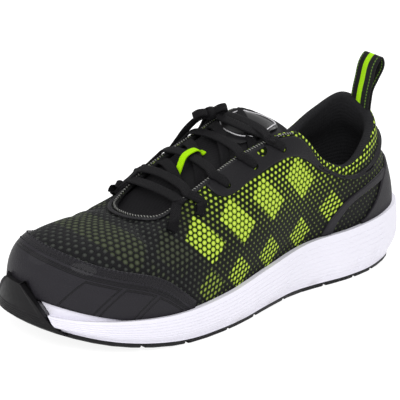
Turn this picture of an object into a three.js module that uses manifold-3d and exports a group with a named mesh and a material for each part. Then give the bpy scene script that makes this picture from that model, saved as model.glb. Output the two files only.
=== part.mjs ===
// Low-cut safety sneaker for the left foot, standing empty on its sole.
// Millimetres: +X runs to the toe, +Y to the outer side, +Z up. The origin lies on the floor under the middle of the sole.
import * as THREE from "three";
import { mergeVertices } from "three/addons/utils/BufferGeometryUtils.js";
import Module from "manifold-3d";

const wasm = await Module();
wasm.setup();

// Sole
const soleLength = 300;
const ballWidth = 110;
const toeSpring = 15; // lift of the tread at the toe tip
const heelBevel = 6.5; // lift of the tread at the back of the heel
const archLift = 1;
const flatFrom = -104; // the tread lies on the floor from here
const flatTo = 46; // to here
const outsoleThick = 2.8;
const heelFoam = 25; // from the outsole to the footbed at the heel
const foreFoam = 14; // and under the ball
const ribCount = 4;
const ribStep = 0.9;
const ribBand = 0.72; // share of the side wall that the ribs take
const sideFlare = 4.5; // how far the side wall stands out from its foot
const widest = 0.42; // share of the wall's height at which it stands out most
const sideDraw = 2.8; // how far it draws in again up to its edge
const treadInset = sideFlare - 0.4; // edge of the tread, inside the outline
const lipThick = sideDraw + 2.4; // foam beside the upper
const lugGroove = 3.4;
const lugDepth = 1.5;
const grooveAt = [-118, -100, -73, -33, -2, 34, 70, 100]; // middle of each groove across the tread
const channelWidth = 9;

// Toe guard, moulded with the outsole
const guardThick = 3;
const guardTop = 37;
const guardMiddle = 10.12; // station about which it lies
const guardFoot = 1.05; // stations each way at its foot
const guardHead = 0.3; // and at its top
const guardRoot = 3; // how far its foot reaches in under the foam

// Upper
const wall = 2.2;
const collarPad = 7.5; // thickness of the padded collar
const padShare = 0.42; // share of the height, from the rim, that the padding takes
const clearance = 0.3; // between pieces that touch
const overlay = 1.3; // thickness of the films and caps on the upper
const ringSteps = 60;
const outerSteps = 8;
const innerSteps = 4;

// Closed outline of the sole with the height of the foam's edge, and the rim of the upper, one row for each station.
// along: share of half the sole's length. across: share of half the ball width. edge: top of the foam, mm.
// rimX, rimY, rimZ: the rim of the collar and throat, mm. lean: outward tilt of the wall at its foot, degrees.
// crest: slope on which the wall reaches the rim. rise and reach: lengths of the curve's handles, mm.
const stations = [
  { name: "heel", along: -1.0, across: 0.03, edge: 44, rimX: -126, rimY: 0, rimZ: 102.5, lean: 6, crest: 78, rise: 22, reach: 26 },
  { name: "heel_corner_out", along: -0.955, across: 0.456, edge: 43, rimX: -121, rimY: 16, rimZ: 95, lean: 7, crest: 76, rise: 22, reach: 24 },
  { name: "heel_side_out", along: -0.82, across: 0.63, edge: 38.5, rimX: -104, rimY: 27.5, rimZ: 85, lean: 6, crest: 78, rise: 20, reach: 20 },
  { name: "rear_out", along: -0.6, across: 0.708, edge: 36, rimX: -84, rimY: 31.5, rimZ: 75.5, lean: 5, crest: 80, rise: 16, reach: 14 },
  { name: "ankle_out", along: -0.33, across: 0.7, edge: 34, rimX: -62, rimY: 30.5, rimZ: 83, lean: 4, crest: 78, rise: 18, reach: 18 },
  { name: "waist_out", along: -0.05, across: 0.86, edge: 30, rimX: -36, rimY: 25.5, rimZ: 106, lean: 4, crest: 62, rise: 28, reach: 26 },
  { name: "instep_out", along: 0.22, across: 1.0, edge: 25, rimX: 2, rimY: 21.5, rimZ: 98.5, lean: 4, crest: 50, rise: 28, reach: 24 },
  { name: "ball_out", along: 0.5, across: 1.02, edge: 22, rimX: 38, rimY: 21, rimZ: 83, lean: 4, crest: 40, rise: 25, reach: 22 },
  { name: "toe_side_out", along: 0.77, across: 0.82, edge: 22.5, rimX: 60, rimY: 19, rimZ: 70, lean: 4, crest: 20, rise: 28, reach: 28 },
  { name: "toe_corner_out", along: 0.94, across: 0.4, edge: 22.5, rimX: 70, rimY: 11, rimZ: 67.5, lean: 3, crest: 10, rise: 34, reach: 44 },
  { name: "toe", along: 1.0, across: -0.12, edge: 24, rimX: 73, rimY: -1, rimZ: 66.5, lean: 3, crest: 8, rise: 36, reach: 52 },
  { name: "toe_corner_in", along: 0.95, across: -0.55, edge: 23, rimX: 70, rimY: -12, rimZ: 66, lean: 3, crest: 10, rise: 34, reach: 46 },
  { name: "toe_side_in", along: 0.8, across: -0.86, edge: 23, rimX: 60, rimY: -20, rimZ: 68, lean: 4, crest: 26, rise: 28, reach: 30 },
  { name: "ball_in", along: 0.55, across: -1.0, edge: 22, rimX: 38, rimY: -20, rimZ: 83.5, lean: 4, crest: 62, rise: 25, reach: 22 },
  { name: "instep_in", along: 0.28, across: -0.91, edge: 26, rimX: 2, rimY: -20, rimZ: 98, lean: 4, crest: 68, rise: 28, reach: 24 },
  { name: "waist_in", along: 0.0, across: -0.7, edge: 31, rimX: -37, rimY: -25, rimZ: 106, lean: 6, crest: 72, rise: 28, reach: 26 },
  { name: "ankle_in", along: -0.3, across: -0.6, edge: 35, rimX: -62, rimY: -30, rimZ: 86, lean: 7, crest: 78, rise: 18, reach: 18 },
  { name: "rear_in", along: -0.58, across: -0.66, edge: 37, rimX: -85, rimY: -32, rimZ: 78.5, lean: 6, crest: 80, rise: 16, reach: 14 },
  { name: "heel_side_in", along: -0.82, across: -0.62, edge: 40, rimX: -107, rimY: -29, rimZ: 91.5, lean: 6, crest: 78, rise: 20, reach: 20 },
  { name: "heel_corner_in", along: -0.955, across: -0.36, edge: 43, rimX: -121, rimY: -17, rimZ: 105, lean: 7, crest: 76, rise: 22, reach: 24 },
];
const toeStation = stations.findIndex((row) => row.name === "toe");

// A smooth closed curve through three columns of the stations.
function closedCurve(pick) {
  const points = stations.map((row) => new THREE.Vector3(...pick(row)));
  const curve = new THREE.CatmullRomCurve3(points, true, "catmullrom", 0.5);
  return (station) => curve.getPoint(THREE.MathUtils.euclideanModulo(station / stations.length, 1));
}
const outlineAt = closedCurve((row) => [(row.along * soleLength) / 2, (row.across * ballWidth) / 2, row.edge]);
const rimAt = closedCurve((row) => [row.rimX, row.rimY, row.rimZ]);
const wallShapeAt = closedCurve((row) => [row.lean, row.crest, 0]);
const handlesAt = closedCurve((row) => [row.rise, row.reach, 0]);

const smooth = (from, to, v) => THREE.MathUtils.smoothstep(v, from, to);
const mix = THREE.MathUtils.lerp;

// Underside of the tread and top of the footbed along the shoe.
function treadHeight(x) {
  const half = soleLength / 2;
  const toe = toeSpring * Math.max(0, (x - flatTo) / (half - flatTo)) ** 1.9;
  const heel = heelBevel * Math.max(0, (flatFrom - x) / (half + flatFrom)) ** 2;
  const arch = archLift * smooth(-60, -30, x) * (1 - smooth(-14, 12, x));
  return toe + heel + arch;
}
function bedHeight(x) {
  return treadHeight(x) + outsoleThick + clearance + mix(heelFoam, foreFoam, smooth(-70, 60, x));
}

// The outline's outward direction in plan.
function outwardAt(station) {
  const step = 0.05;
  const run = outlineAt(station + step).sub(outlineAt(station - step));
  return new THREE.Vector3(-run.y, run.x, 0).normalize();
}

// A point of the sole's outline, drawn in by a distance, at a height.
function outlinePoint(station, inset, height) {
  const p = outlineAt(station).addScaledVector(outwardAt(station), -inset);
  p.z = height;
  return p;
}

const featherInset = lipThick + overlay + 2 * clearance;
function featherPoint(station) {
  const p = outlinePoint(station, featherInset, 0);
  p.z = bedHeight(p.x) + clearance;
  return p;
}

// Outer surface of the upper: t is 0 at the foot of the wall and 1 at the rim.
function upperPoint(station, t) {
  const foot = featherPoint(station);
  const rim = rimAt(station);
  const out = outwardAt(station);
  const shape = wallShapeAt(station);
  const lean = THREE.MathUtils.degToRad(shape.x);
  const crest = THREE.MathUtils.degToRad(shape.y);
  const handles = handlesAt(station);
  const inward = new THREE.Vector3(rim.x - foot.x, rim.y - foot.y, 0).addScaledVector(out, -20).normalize();
  const low = foot.clone().addScaledVector(out, handles.x * Math.sin(lean));
  low.z += handles.x * Math.cos(lean);
  const high = rim.clone().addScaledVector(inward, -handles.y * Math.cos(crest));
  high.z -= handles.y * Math.sin(crest);
  return new THREE.CubicBezierCurve3(foot, low, high, rim).getPoint(t);
}

function upperNormal(station, t) {
  const du = upperPoint(station + 0.04, t).sub(upperPoint(station - 0.04, t));
  const a = Math.min(t + 0.01, 1);
  const b = Math.max(t - 0.01, 0);
  const dv = upperPoint(station, a).sub(upperPoint(station, b));
  return dv.cross(du).normalize();
}

function upperOffset(station, t, distance) {
  return upperPoint(station, t).addScaledVector(upperNormal(station, t), distance);
}

// The share of the wall at which its outer surface reaches a height.
function shareAtHeight(station, height) {
  let low = 0;
  let high = 1;
  for (let k = 0; k < 24; k++) {
    const middle = (low + high) / 2;
    if (upperPoint(station, middle).z < height) low = middle;
    else high = middle;
  }
  return low;
}

// Collects triangles from rows of points and turns them into one solid.
class Skin {
  constructor() {
    this.positions = [];
  }
  triangle(a, b, c) {
    for (const p of [a, b, c]) this.positions.push(p.x, p.y, p.z);
  }
  quad(a, b, c, d) {
    this.triangle(a, b, c);
    this.triangle(a, c, d);
  }
  // Joins two rows of points; closed rows run round.
  join(row, next, closed) {
    const last = closed ? row.length : row.length - 1;
    for (let i = 0; i < last; i++) {
      const j = (i + 1) % row.length;
      this.quad(row[i], row[j], next[j], next[i]);
    }
  }
  // Fills a ring by strips that run across it, from one side to the other.
  across(ring, up) {
    const n = ring.length;
    for (let i = 0; i < n / 2; i++) {
      const a = ring[i];
      const b = ring[i + 1];
      const c = ring[n - i - 1];
      const d = ring[(n - i) % n];
      const corners = i === 0 ? [a, b, c] : i === n / 2 - 1 ? [a, b, d] : [a, b, c, d];
      if (!up) corners.reverse();
      if (corners.length === 3) this.triangle(...corners);
      else this.quad(...corners);
    }
  }
  solid() {
    const geometry = new THREE.BufferGeometry();
    geometry.setAttribute("position", new THREE.Float32BufferAttribute(this.positions, 3));
    return solidOf(geometry);
  }
}

function solidOf(geometry) {
  const bare = geometry.clone();
  bare.deleteAttribute("normal");
  bare.deleteAttribute("uv");
  const merged = mergeVertices(bare, 1e-3);
  const index = new Uint32Array(merged.index.array);
  const made = new wasm.Manifold(
    new wasm.Mesh({ numProp: 3, vertProperties: merged.attributes.position.array, triVerts: index }),
  );
  if (made.volume() >= 0) return made;
  for (let i = 0; i < index.length; i += 3) [index[i], index[i + 1]] = [index[i + 1], index[i]];
  return new wasm.Manifold(
    new wasm.Mesh({ numProp: 3, vertProperties: merged.attributes.position.array, triVerts: index }),
  );
}

function geometryOf(solid) {
  const mesh = solid.getMesh();
  const geometry = new THREE.BufferGeometry();
  const positions = new Float32Array(mesh.numVert * 3);
  for (let i = 0; i < mesh.numVert; i++) {
    positions.set(mesh.vertProperties.subarray(i * mesh.numProp, i * mesh.numProp + 3), i * 3);
  }
  geometry.setAttribute("position", new THREE.BufferAttribute(positions, 3));
  geometry.setIndex(new THREE.BufferAttribute(mesh.triVerts, 1));
  geometry.computeVertexNormals();
  return geometry;
}

const ring = (make) => Array.from({ length: ringSteps }, (_, i) => make((i * stations.length) / ringSteps));

// A closed tube of rings: each ring joins the next, and the last joins the first.
function ringTube(rings) {
  const skin = new Skin();
  rings.forEach((row, k) => skin.join(row, rings[(k + 1) % rings.length], true));
  return skin.solid();
}

// A stack of rings with a floor and a roof.
function ringStack(rings) {
  const skin = new Skin();
  skin.across(rings[0], false);
  for (let k = 0; k + 1 < rings.length; k++) skin.join(rings[k], rings[k + 1], true);
  skin.across(rings[rings.length - 1], true);
  return skin.solid();
}

// A plate on a surface: under and over give its two faces for a column and a row.
function plate(columns, rows, under, over) {
  const skin = new Skin();
  const sheet = (face) =>
    Array.from({ length: rows + 1 }, (_, r) =>
      Array.from({ length: columns + 1 }, (_, c) => face(c / columns, r / rows)),
    );
  const low = sheet(under);
  const high = sheet(over);
  for (let r = 0; r < rows; r++) {
    skin.join(high[r], high[r + 1], false);
    skin.join(low[r + 1], low[r], false);
    skin.quad(low[r][0], high[r][0], high[r + 1][0], low[r + 1][0]);
    skin.quad(high[r][columns], low[r][columns], low[r + 1][columns], high[r + 1][columns]);
  }
  for (let c = 0; c < columns; c++) {
    skin.quad(low[0][c], low[0][c + 1], high[0][c + 1], high[0][c]);
    skin.quad(high[rows][c], high[rows][c + 1], low[rows][c + 1], low[rows][c]);
  }
  return skin.solid();
}

// A film or cap on the upper between two stations; low and high give its edges as shares of the wall.
function overlayPlate(from, to, columns, rows, low, high, lift = clearance, thick = overlay) {
  const place = (distance) => (c, r) => {
    const station = mix(from, to, c);
    return upperOffset(station, mix(low(station), high(station), r), distance);
  };
  return plate(columns, rows, place(lift), place(lift + thick));
}

// Upper: one shell, padded at the collar, open at the rim and underneath.
function padThickness(station, t) {
  const rim = rimAt(station);
  const collar = 1 - smooth(-52, -30, rim.x);
  return mix(wall, collarPad, collar * smooth(1 - padShare, 1 - padShare / 3, t));
}
function makeUpper(grow = 0) {
  const outer = Array.from({ length: outerSteps + 1 }, (_, k) => ring((s) => upperOffset(s, k / outerSteps, grow)));
  const rim = ring((s) => {
    const half = padThickness(s, 1) / 2;
    const out = upperNormal(s, 1);
    const top = upperPoint(s, 1).addScaledVector(out, -half);
    const along = upperPoint(s, 1).sub(upperPoint(s, 0.97)).normalize();
    return top.addScaledVector(along, half * 0.75 + grow * 1.5);
  });
  const inner = Array.from({ length: innerSteps + 1 }, (_, k) => {
    const t = 1 - k / innerSteps;
    return ring((s) => upperOffset(s, t, -padThickness(s, t) - grow));
  });
  return ringTube([...outer, rim, ...inner]);
}

// Midsole: foam with a ribbed side wall and a cup that takes the foot of the upper.
function makeMidsole() {
  const foot = ring((s) => {
    const p = outlinePoint(s, treadInset, 0);
    p.z = treadHeight(p.x) + outsoleThick + clearance;
    return p;
  });
  const rings = [foot];
  const wallAt = (share, step) =>
    ring((s) => {
      const top = outlineAt(s).z;
      const base = outlinePoint(s, sideFlare, 0);
      const low = treadHeight(base.x) + outsoleThick + 1;
      const under = sideFlare * (1 - Math.sin((Math.min(share, widest) / widest) * (Math.PI / 2)));
      const over = sideDraw * (Math.max(0, share - widest) / (1 - widest)) ** 1.6;
      return outlinePoint(s, under + over + step, mix(low, top, share));
    });
  rings.push(wallAt(0, 0));
  for (let k = 0; k < ribCount; k++) {
    const low = 0.12 + (ribBand * k) / ribCount;
    const high = 0.12 + (ribBand * (k + 1)) / ribCount;
    rings.push(wallAt(low, 0));
    rings.push(wallAt(high - 0.02, ribStep));
  }
  rings.push(wallAt(0.9, 0));
  rings.push(wallAt(1, 0));
  const cupInset = featherInset - clearance;
  rings.push(
    ring((s) => {
      const top = outlineAt(s).z;
      const t = shareAtHeight(s, top - 0.8);
      return upperOffset(s, t, clearance).setZ(top - 0.8);
    }),
  );
  rings.push(
    ring((s) => {
      const p = outlinePoint(s, cupInset, 0);
      return p.setZ(bedHeight(p.x));
    }),
  );
  return ringStack(rings);
}

// Insole: a thin board with a soft top, inside the foot of the upper.
const insoleThick = 4;
function makeInsole() {
  const inset = featherInset + wall + clearance * 3;
  const level = (extra, lift) =>
    ring((s) => {
      const p = outlinePoint(s, inset + extra, 0);
      return p.setZ(bedHeight(p.x) + clearance * 1.5 + lift);
    });
  return ringStack([level(0, 0), level(0, insoleThick * 0.7), level(1.5, insoleThick)]);
}

// Toe guard: the outsole's rubber carried up the front of the toe.
function guardPlate(gap, beyond) {
  const inner = overlay + 2 * clearance + 0.3;
  const face = (distance, root) => (c, r) => {
    const reach = mix(guardFoot, guardHead, r ** 1.4) + gap / 14;
    const station = guardMiddle + mix(-reach, reach, c);
    const drop = r === 0 ? -3 * gap : r === 1 ? gap : 0;
    const height = mix(treadHeight(outlineAt(station).x) + 1, guardTop, r) + drop;
    const foot = featherPoint(station);
    const share = shareAtHeight(station, height);
    const base = height <= foot.z ? foot.setZ(height) : upperPoint(station, share).setZ(height);
    return base.addScaledVector(outwardAt(station), r === 0 ? root : distance);
  };
  return plate(16, 5, face(inner - gap, -guardRoot - 6 * gap), face(inner + guardThick + beyond, inner + guardThick + beyond));
}

// Outsole: rubber tread with grooves across it, a channel along it, and the toe guard.
function makeOutsole() {
  const side = treadInset;
  const level = (inset, lift) =>
    ring((s) => {
      const p = outlinePoint(s, inset, 0);
      return p.setZ(treadHeight(p.x) + lift);
    });
  let body = ringStack([level(side + 0.8, 0), level(side, 0.8), level(side, outsoleThick)]);
  body = body.add(guardPlate(0, 0));
  for (const x of grooveAt) {
    const cut = new THREE.BoxGeometry(lugGroove, ballWidth * 1.2, lugDepth * 2);
    cut.rotateZ(THREE.MathUtils.degToRad(x > 0 ? 6 : -5));
    cut.translate(x, 0, treadHeight(x));
    body = body.subtract(solidOf(cut));
  }
  const channel = new THREE.BoxGeometry(soleLength * 0.62, channelWidth, lugDepth * 2);
  channel.translate(-12, 0, 0);
  return body.subtract(solidOf(channel));
}

// A smooth curve through the rows of a short table whose first column is the station.
function tableCurve(rows) {
  const value = (station, column) => {
    let k = 0;
    while (k < rows.length - 2 && station > rows[k + 1][0]) k++;
    const [a, b] = [rows[k], rows[k + 1]];
    const before = rows[Math.max(k - 1, 0)];
    const after = rows[Math.min(k + 2, rows.length - 1)];
    const span = b[0] - a[0];
    const v = Math.min(Math.max((station - a[0]) / span, 0), 1);
    const slopeA = ((b[column] - before[column]) / (b[0] - before[0])) * span;
    const slopeB = ((after[column] - a[column]) / (after[0] - a[0])) * span;
    const w = v * v;
    const q = w * v;
    return (2 * q - 3 * w + 1) * a[column] + (q - 2 * w + v) * slopeA + (3 * w - 2 * q) * b[column] + (q - w) * slopeB;
  };
  return (column) => (station) => value(station, column);
}
const mirrored = (station) => 2 * toeStation - station;

// Where a film's foot sits: just above the foam's edge.
const aboveFoam = (station) => shareAtHeight(station, outlineAt(station).z + 2 * clearance);

// Toe cap: station and upper edge, as a share of the wall.
const capEdge = tableCurve([
  [6.6, 0.1], [6.9, 0.2], [7.2, 0.29], [7.55, 0.355], [8.15, 0.39], [8.75, 0.4], [9.5, 0.43], [10.2, 0.45],
  [10.9, 0.44], [11.6, 0.41], [12.2, 0.39], [12.6, 0.355], [12.95, 0.29], [13.2, 0.2], [13.45, 0.1],
])(1);
function makeToeCap() {
  return overlayPlate(6.62, 13.43, 28, 4, aboveFoam, capEdge, clearance * 1.5);
}

// Heel counter: station from the heel and upper edge; an arm runs from its top forward and down to the foam.
const counterEdge = tableCurve([
  [0, 0.63], [0.8, 0.63], [1.3, 0.61], [1.7, 0.54], [1.95, 0.45], [2.25, 0.33], [2.5, 0.24], [2.7, 0.17],
])(1);
const armPath = [
  [1.45, 0.57], [1.9, 0.585], [2.35, 0.6], [2.75, 0.585], [3.1, 0.52], [3.3, 0.42], [3.45, 0.3], [3.56, 0.17],
];
const armWidth = 6;
const stationSpan = 30; // mm per station about the arm
const shareSpan = 68; // mm per share of the wall
function makeArm(side) {
  const path = new THREE.CatmullRomCurve3(
    armPath.map(([station, share]) => new THREE.Vector3(station * stationSpan, share * shareSpan, 0)),
  );
  const face = (distance) => (c, r) => {
    const p = path.getPoint(c);
    const run = path.getTangent(c);
    p.addScaledVector(new THREE.Vector3(-run.y, run.x, 0), armWidth * (0.5 - r));
    const station = p.x / stationSpan;
    const share = Math.max(p.y / shareSpan, aboveFoam(station));
    return upperOffset(side > 0 ? station : mirrored(station), share, distance);
  };
  return plate(14, 1, face(clearance), face(clearance + overlay));
}
function makeCounter() {
  const edge = (station) => Math.max(counterEdge(Math.abs(station)), aboveFoam(station) + 0.03);
  return overlayPlate(-2.7, 2.7, 20, 3, aboveFoam, edge).add(makeArm(1)).add(makeArm(-1));
}

// Eyestay with the strip under the collar: station, lower and upper edge.
const stayEdges = tableCurve([
  [0.62, 0.83, 0.9], [1.2, 0.805, 0.88], [1.65, 0.775, 0.85], [2.2, 0.765, 0.84], [3.1, 0.855, 0.92],
  [3.75, 0.9, 0.955], [4.2, 0.875, 0.955], [4.6, 0.845, 0.965], [4.9, 0.825, 0.975], [5.3, 0.8, 0.975],
  [5.6, 0.775, 0.975], [5.9, 0.75, 0.975], [6.15, 0.725, 0.975], [6.4, 0.755, 0.975], [6.6, 0.83, 0.975],
  [6.78, 0.94, 0.975],
]);
// Eyelets from the ankle to the toe; the last two are loops of webbing.
// share: on the outer side. inner: on the inner side.
const eyelets = [
  { station: 5.24, share: 0.885, inner: 0.885, loop: false },
  { station: 5.78, share: 0.845, inner: 0.85, loop: false },
  { station: 6.33, share: 0.82, inner: 0.83, loop: false },
  { station: 6.88, share: 0.8, inner: 0.84, loop: true },
  { station: 7.5, share: 0.79, inner: 0.86, loop: true },
];
const eyeletRadius = 2.3;
const windowAt = { station: 5.66, share: 0.935 };
const windowRadius = 3.6;
function drill(station, share, radius, tall = 1) {
  const axis = upperNormal(station, share);
  const hole = new THREE.CylinderGeometry(radius, radius, 12, 12);
  hole.scale(1, 1, tall);
  hole.applyQuaternion(new THREE.Quaternion().setFromUnitVectors(new THREE.Vector3(0, 1, 0), axis));
  const at = upperPoint(station, share);
  hole.translate(at.x, at.y, at.z);
  return solidOf(hole);
}
function makeStay(side) {
  const map = (station) => (side > 0 ? station : mirrored(station));
  const place = (distance) => (c, r) => {
    const station = mix(0.62, 6.78, c);
    return upperOffset(map(station), mix(stayEdges(1)(station), stayEdges(2)(station), r), distance);
  };
  let stay = plate(38, 2, place(clearance), place(clearance + overlay));
  for (const eye of eyelets.filter((row) => !row.loop)) {
    stay = stay.subtract(drill(map(eye.station), side > 0 ? eye.share : eye.inner, eyeletRadius));
  }
  return stay.subtract(drill(map(windowAt.station), windowAt.share, windowRadius));
}
// Tongue: it follows the inside of the throat, bridges it, and rises above the collar.
const tongueThick = 4;
const tongueArch = 0.14;
const tongueTuck = 0.93; // share of the wall down to which it lies under the upper
const tongueGap = 1.4;
const tongueFree = 5.35; // station from which it leaves the upper
const tongueTop = { x: -41, z: 108.1, half: 20.8, drop: 0.3, tilt: 1.2, sweep: 3 };
function tongueSection(station, depth) {
  const side = (at, t) => upperOffset(at, t, -wall - tongueGap - depth);
  const left = side(station, 1);
  const right = side(mirrored(station), 1);
  const span = left.distanceTo(right);
  const leftRun = side(station, 1).sub(side(station, 0.97)).normalize();
  const rightRun = side(mirrored(station), 1).sub(side(mirrored(station), 0.97)).normalize();
  const bridge = new THREE.CubicBezierCurve3(
    left,
    left.clone().addScaledVector(leftRun, span * tongueArch),
    right.clone().addScaledVector(rightRun, span * tongueArch),
    right,
  );
  return (v) => {
    if (v < 0.12) return side(station, mix(tongueTuck, 1, v / 0.12));
    if (v > 0.88) return side(mirrored(station), mix(1, tongueTuck, (v - 0.88) / 0.12));
    return bridge.getPoint((v - 0.12) / 0.76);
  };
}
function tonguePoint(v, u, depth) {
  const tucked = 0.72; // share of its length under the throat
  const last = tongueSection(tongueFree, depth);
  if (u <= tucked) return tongueSection(mix(9.75, tongueFree, (u / tucked) ** 0.8), depth)(v);
  const w = (u - tucked) / (1 - tucked);
  const across = 1 - 2 * v;
  const top = new THREE.Vector3(
    tongueTop.x + tongueTop.sweep * across * across,
    tongueTop.half * across,
    tongueTop.z - tongueTop.drop * across * across - tongueTop.tilt * across - depth * 0.8,
  );
  top.x += depth * 0.5;
  const from = last(v);
  const before = tongueSection(tongueFree + 0.25, depth)(v);
  const lead = from.clone().sub(before).normalize().multiplyScalar(10);
  const curve = new THREE.CubicBezierCurve3(
    from,
    from.clone().add(lead.multiplyScalar(0.8)),
    top.clone().add(new THREE.Vector3(8, 0, -5)),
    top,
  );
  return curve.getPoint(w);
}
function makeTongue() {
  return plate(
    10,
    12,
    (c, r) => tonguePoint(c, r, tongueThick),
    (c, r) => tonguePoint(c, r, 0),
  );
}
function tongueNormal(v, u) {
  const across = tonguePoint(v + 0.02, u, 0).sub(tonguePoint(v - 0.02, u, 0));
  const along = tonguePoint(v, Math.min(u + 0.02, 1), 0).sub(tonguePoint(v, u - 0.02, 0));
  return along.cross(across).normalize();
}


// A closed bar along a path: section gives the corner offsets as pairs across and up, frame the two directions.
function sweep(points, ups, section) {
  const skin = new Skin();
  const rows = points.map((p, k) => {
    const run = points[Math.min(k + 1, points.length - 1)].clone().sub(points[Math.max(k - 1, 0)]).normalize();
    const across = new THREE.Vector3().crossVectors(run, ups[k]).normalize();
    const up = new THREE.Vector3().crossVectors(across, run).normalize();
    return section(k / (points.length - 1)).map(([a, b]) => p.clone().addScaledVector(across, a).addScaledVector(up, b));
  });
  for (let k = 0; k + 1 < rows.length; k++) skin.join(rows[k], rows[k + 1], true);
  const lid = (row, flip) => {
    for (let i = 1; i + 1 < row.length; i++) {
      if (flip) skin.triangle(row[0], row[i], row[i + 1]);
      else skin.triangle(row[0], row[i + 1], row[i]);
    }
  };
  lid(rows[0], false);
  lid(rows[rows.length - 1], true);
  return skin.solid();
}
const flatOval = (width, thick, sides = 6) =>
  Array.from({ length: sides }, (_, i) => {
    const a = ((i + 0.5) / sides) * 2 * Math.PI;
    const square = 0.65;
    const power = (v) => Math.sign(v) * Math.abs(v) ** square;
    return [(width / 2) * power(Math.cos(a)), (thick / 2) * power(Math.sin(a))];
  });
const band = (width, thick) => [
  [-width / 2, -thick / 2], [width / 2, -thick / 2], [width / 2, thick / 2], [-width / 2, thick / 2],
];

// Laces: flat cords that cross the throat above the tongue.
const laceWidth = 6.4;
const laceThick = 2.2;
const laceGap = 0.9;
const laceLift = overlay + clearance + laceGap + laceThick / 2;
const laceArch = 0.04;
const laceRise = 0.085; // added to the arch over the patch
const laceStops = [0, 0.11, 0.2, 0.3, 0.5, 0.7, 0.8, 0.89, 1]; // shares of a crossing; the throat's edges are at 0.2 and 0.8
function throatPath(from, to) {
  const [a, b] = [from.station, to.station];
  const surface = (station, t) => upperOffset(station, t, laceLift);
  const spot = (v) => {
    const station = mix(a, b, v);
    const left = surface(station, 1);
    const right = surface(mirrored(station), 1);
    const span = left.distanceTo(right);
    const leftRun = surface(station, 1).sub(surface(station, 0.97)).normalize();
    const rightRun = surface(mirrored(station), 1).sub(surface(mirrored(station), 0.97)).normalize();
    const arch = laceArch + laceRise * (1 - smooth(5.3, 6.4, station));
    const bridge = new THREE.CubicBezierCurve3(
      left,
      left.clone().addScaledVector(leftRun, span * arch),
      right.clone().addScaledVector(rightRun, span * arch),
      right,
    );
    const side = 0.2;
    if (v < side) return surface(station, mix(from.share, 1, v / side));
    if (v > 1 - side) return surface(mirrored(station), mix(1, to.inner, (v - 1 + side) / side));
    return bridge.getPoint((v - side) / (1 - 2 * side));
  };
  const rise = (v) => {
    const station = mix(a, b, v);
    const left = upperNormal(station, mix(from.share, 1, Math.min(v / 0.2, 1)));
    const right = upperNormal(mirrored(station), mix(to.inner, 1, Math.min((1 - v) / 0.2, 1)));
    return left.lerp(right, smooth(0.1, 0.9, v)).normalize();
  };
  return { points: laceStops.map(spot), ups: laceStops.map(rise) };
}
function strand(from, to) {
  const { points, ups } = throatPath(from, to);
  return sweep(points, ups, () => flatOval(laceWidth, laceThick));
}
const laceEnds = eyelets.map((eye) => {
  const past = eye.loop ? 0.065 : 0.035;
  return { ...eye, share: eye.share + past, inner: eye.inner + past };
});

// Loops of webbing that stand in for the two lowest eyelets on each side.
const webbing = { width: 6.5, thick: 1, foot: 0.74, head: 0.86, back: 0.78, eye: 3.7 };
function webbingLoop(station, share) {
  const n0 = clearance * 3 + webbing.thick / 2;
  const at = (t, lift) => upperOffset(station, share - webbing.head + t, lift);
  const { foot, head, back, eye } = webbing;
  const points = [
    at(foot, n0), at(mix(foot, head, 0.45), n0), at(mix(foot, head, 0.8), n0 + 0.1), at(head + 0.01, n0 + 1),
    at(head + 0.018, n0 + eye / 2), at(head, n0 + eye - 0.6), at(head - 0.03, n0 + eye), at(head - 0.055, n0 + eye - 0.8),
    at(back, n0 + webbing.thick + 0.6),
  ];
  const ups = points.map((p, k) => {
    const run = points[Math.min(k + 1, points.length - 1)].clone().sub(points[Math.max(k - 1, 0)]).normalize();
    const along = upperPoint(station + 0.05, 0.8).sub(upperPoint(station - 0.05, 0.8)).normalize();
    return run.cross(along).normalize();
  });
  return sweep(points, ups, () => band(webbing.width, webbing.thick));
}

// Keeper: a strap along the tongue with the lace under it.
function makeKeeper(cross) {
  const width = 6.5;
  const thick = 1.1;
  const centre = (x) => {
    let [low, high] = [0.02, 0.98];
    for (let k = 0; k < 24; k++) {
      const middle = (low + high) / 2;
      if (tonguePoint(0.5, middle, 0).x > x) low = middle;
      else high = middle;
    }
    return tonguePoint(0.5, low, 0).addScaledVector(tongueNormal(0.5, low), clearance + thick / 2);
  };
  const top = cross.clone();
  const lift = laceThick / 2 + laceGap + thick / 2;
  const up = new THREE.Vector3(0.45, 0, 1).normalize();
  const raw = [
    centre(top.x + 12.5), centre(top.x + 9.5), top.clone().add(new THREE.Vector3(5, 0, -2.4)).addScaledVector(up, lift - 0.2),
    top.clone().addScaledVector(up, lift),
    top.clone().add(new THREE.Vector3(-5, 0, 2)).addScaledVector(up, lift - 0.2), centre(top.x - 9.5), centre(top.x - 12.5),
  ];
  const points = new THREE.CatmullRomCurve3(raw, false, "centripetal").getSpacedPoints(14);
  return sweep(points, points.map(() => up), () => band(width, thick));
}

// Patch on the tongue, with rounded corners.
const patch = { from: 0.6, to: 0.965, half: 0.27, thick: 0.8, corner: 0.16 };
function makePatch() {
  const face = (lift) => (c, r) => {
    const u = mix(patch.from, patch.to, r);
    const near = Math.min(r, 1 - r) / patch.corner;
    const round = near < 1 ? mix(0.72, 1, Math.sqrt(1 - (1 - near) ** 2)) : 1;
    const v = 0.5 + patch.half * round * (2 * c - 1);
    return tonguePoint(v, u, 0).addScaledVector(tongueNormal(v, u), lift);
  };
  return plate(6, 7, face(clearance * 2), face(clearance * 2 + patch.thick));
}

// Pull loop: a band folded over, with both ends sewn into the top of the collar at the heel.
const pull = { width: 15.3, thick: 1.5, rise: 29.5, lean: 7, open: 7.6, root: 6 };
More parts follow.
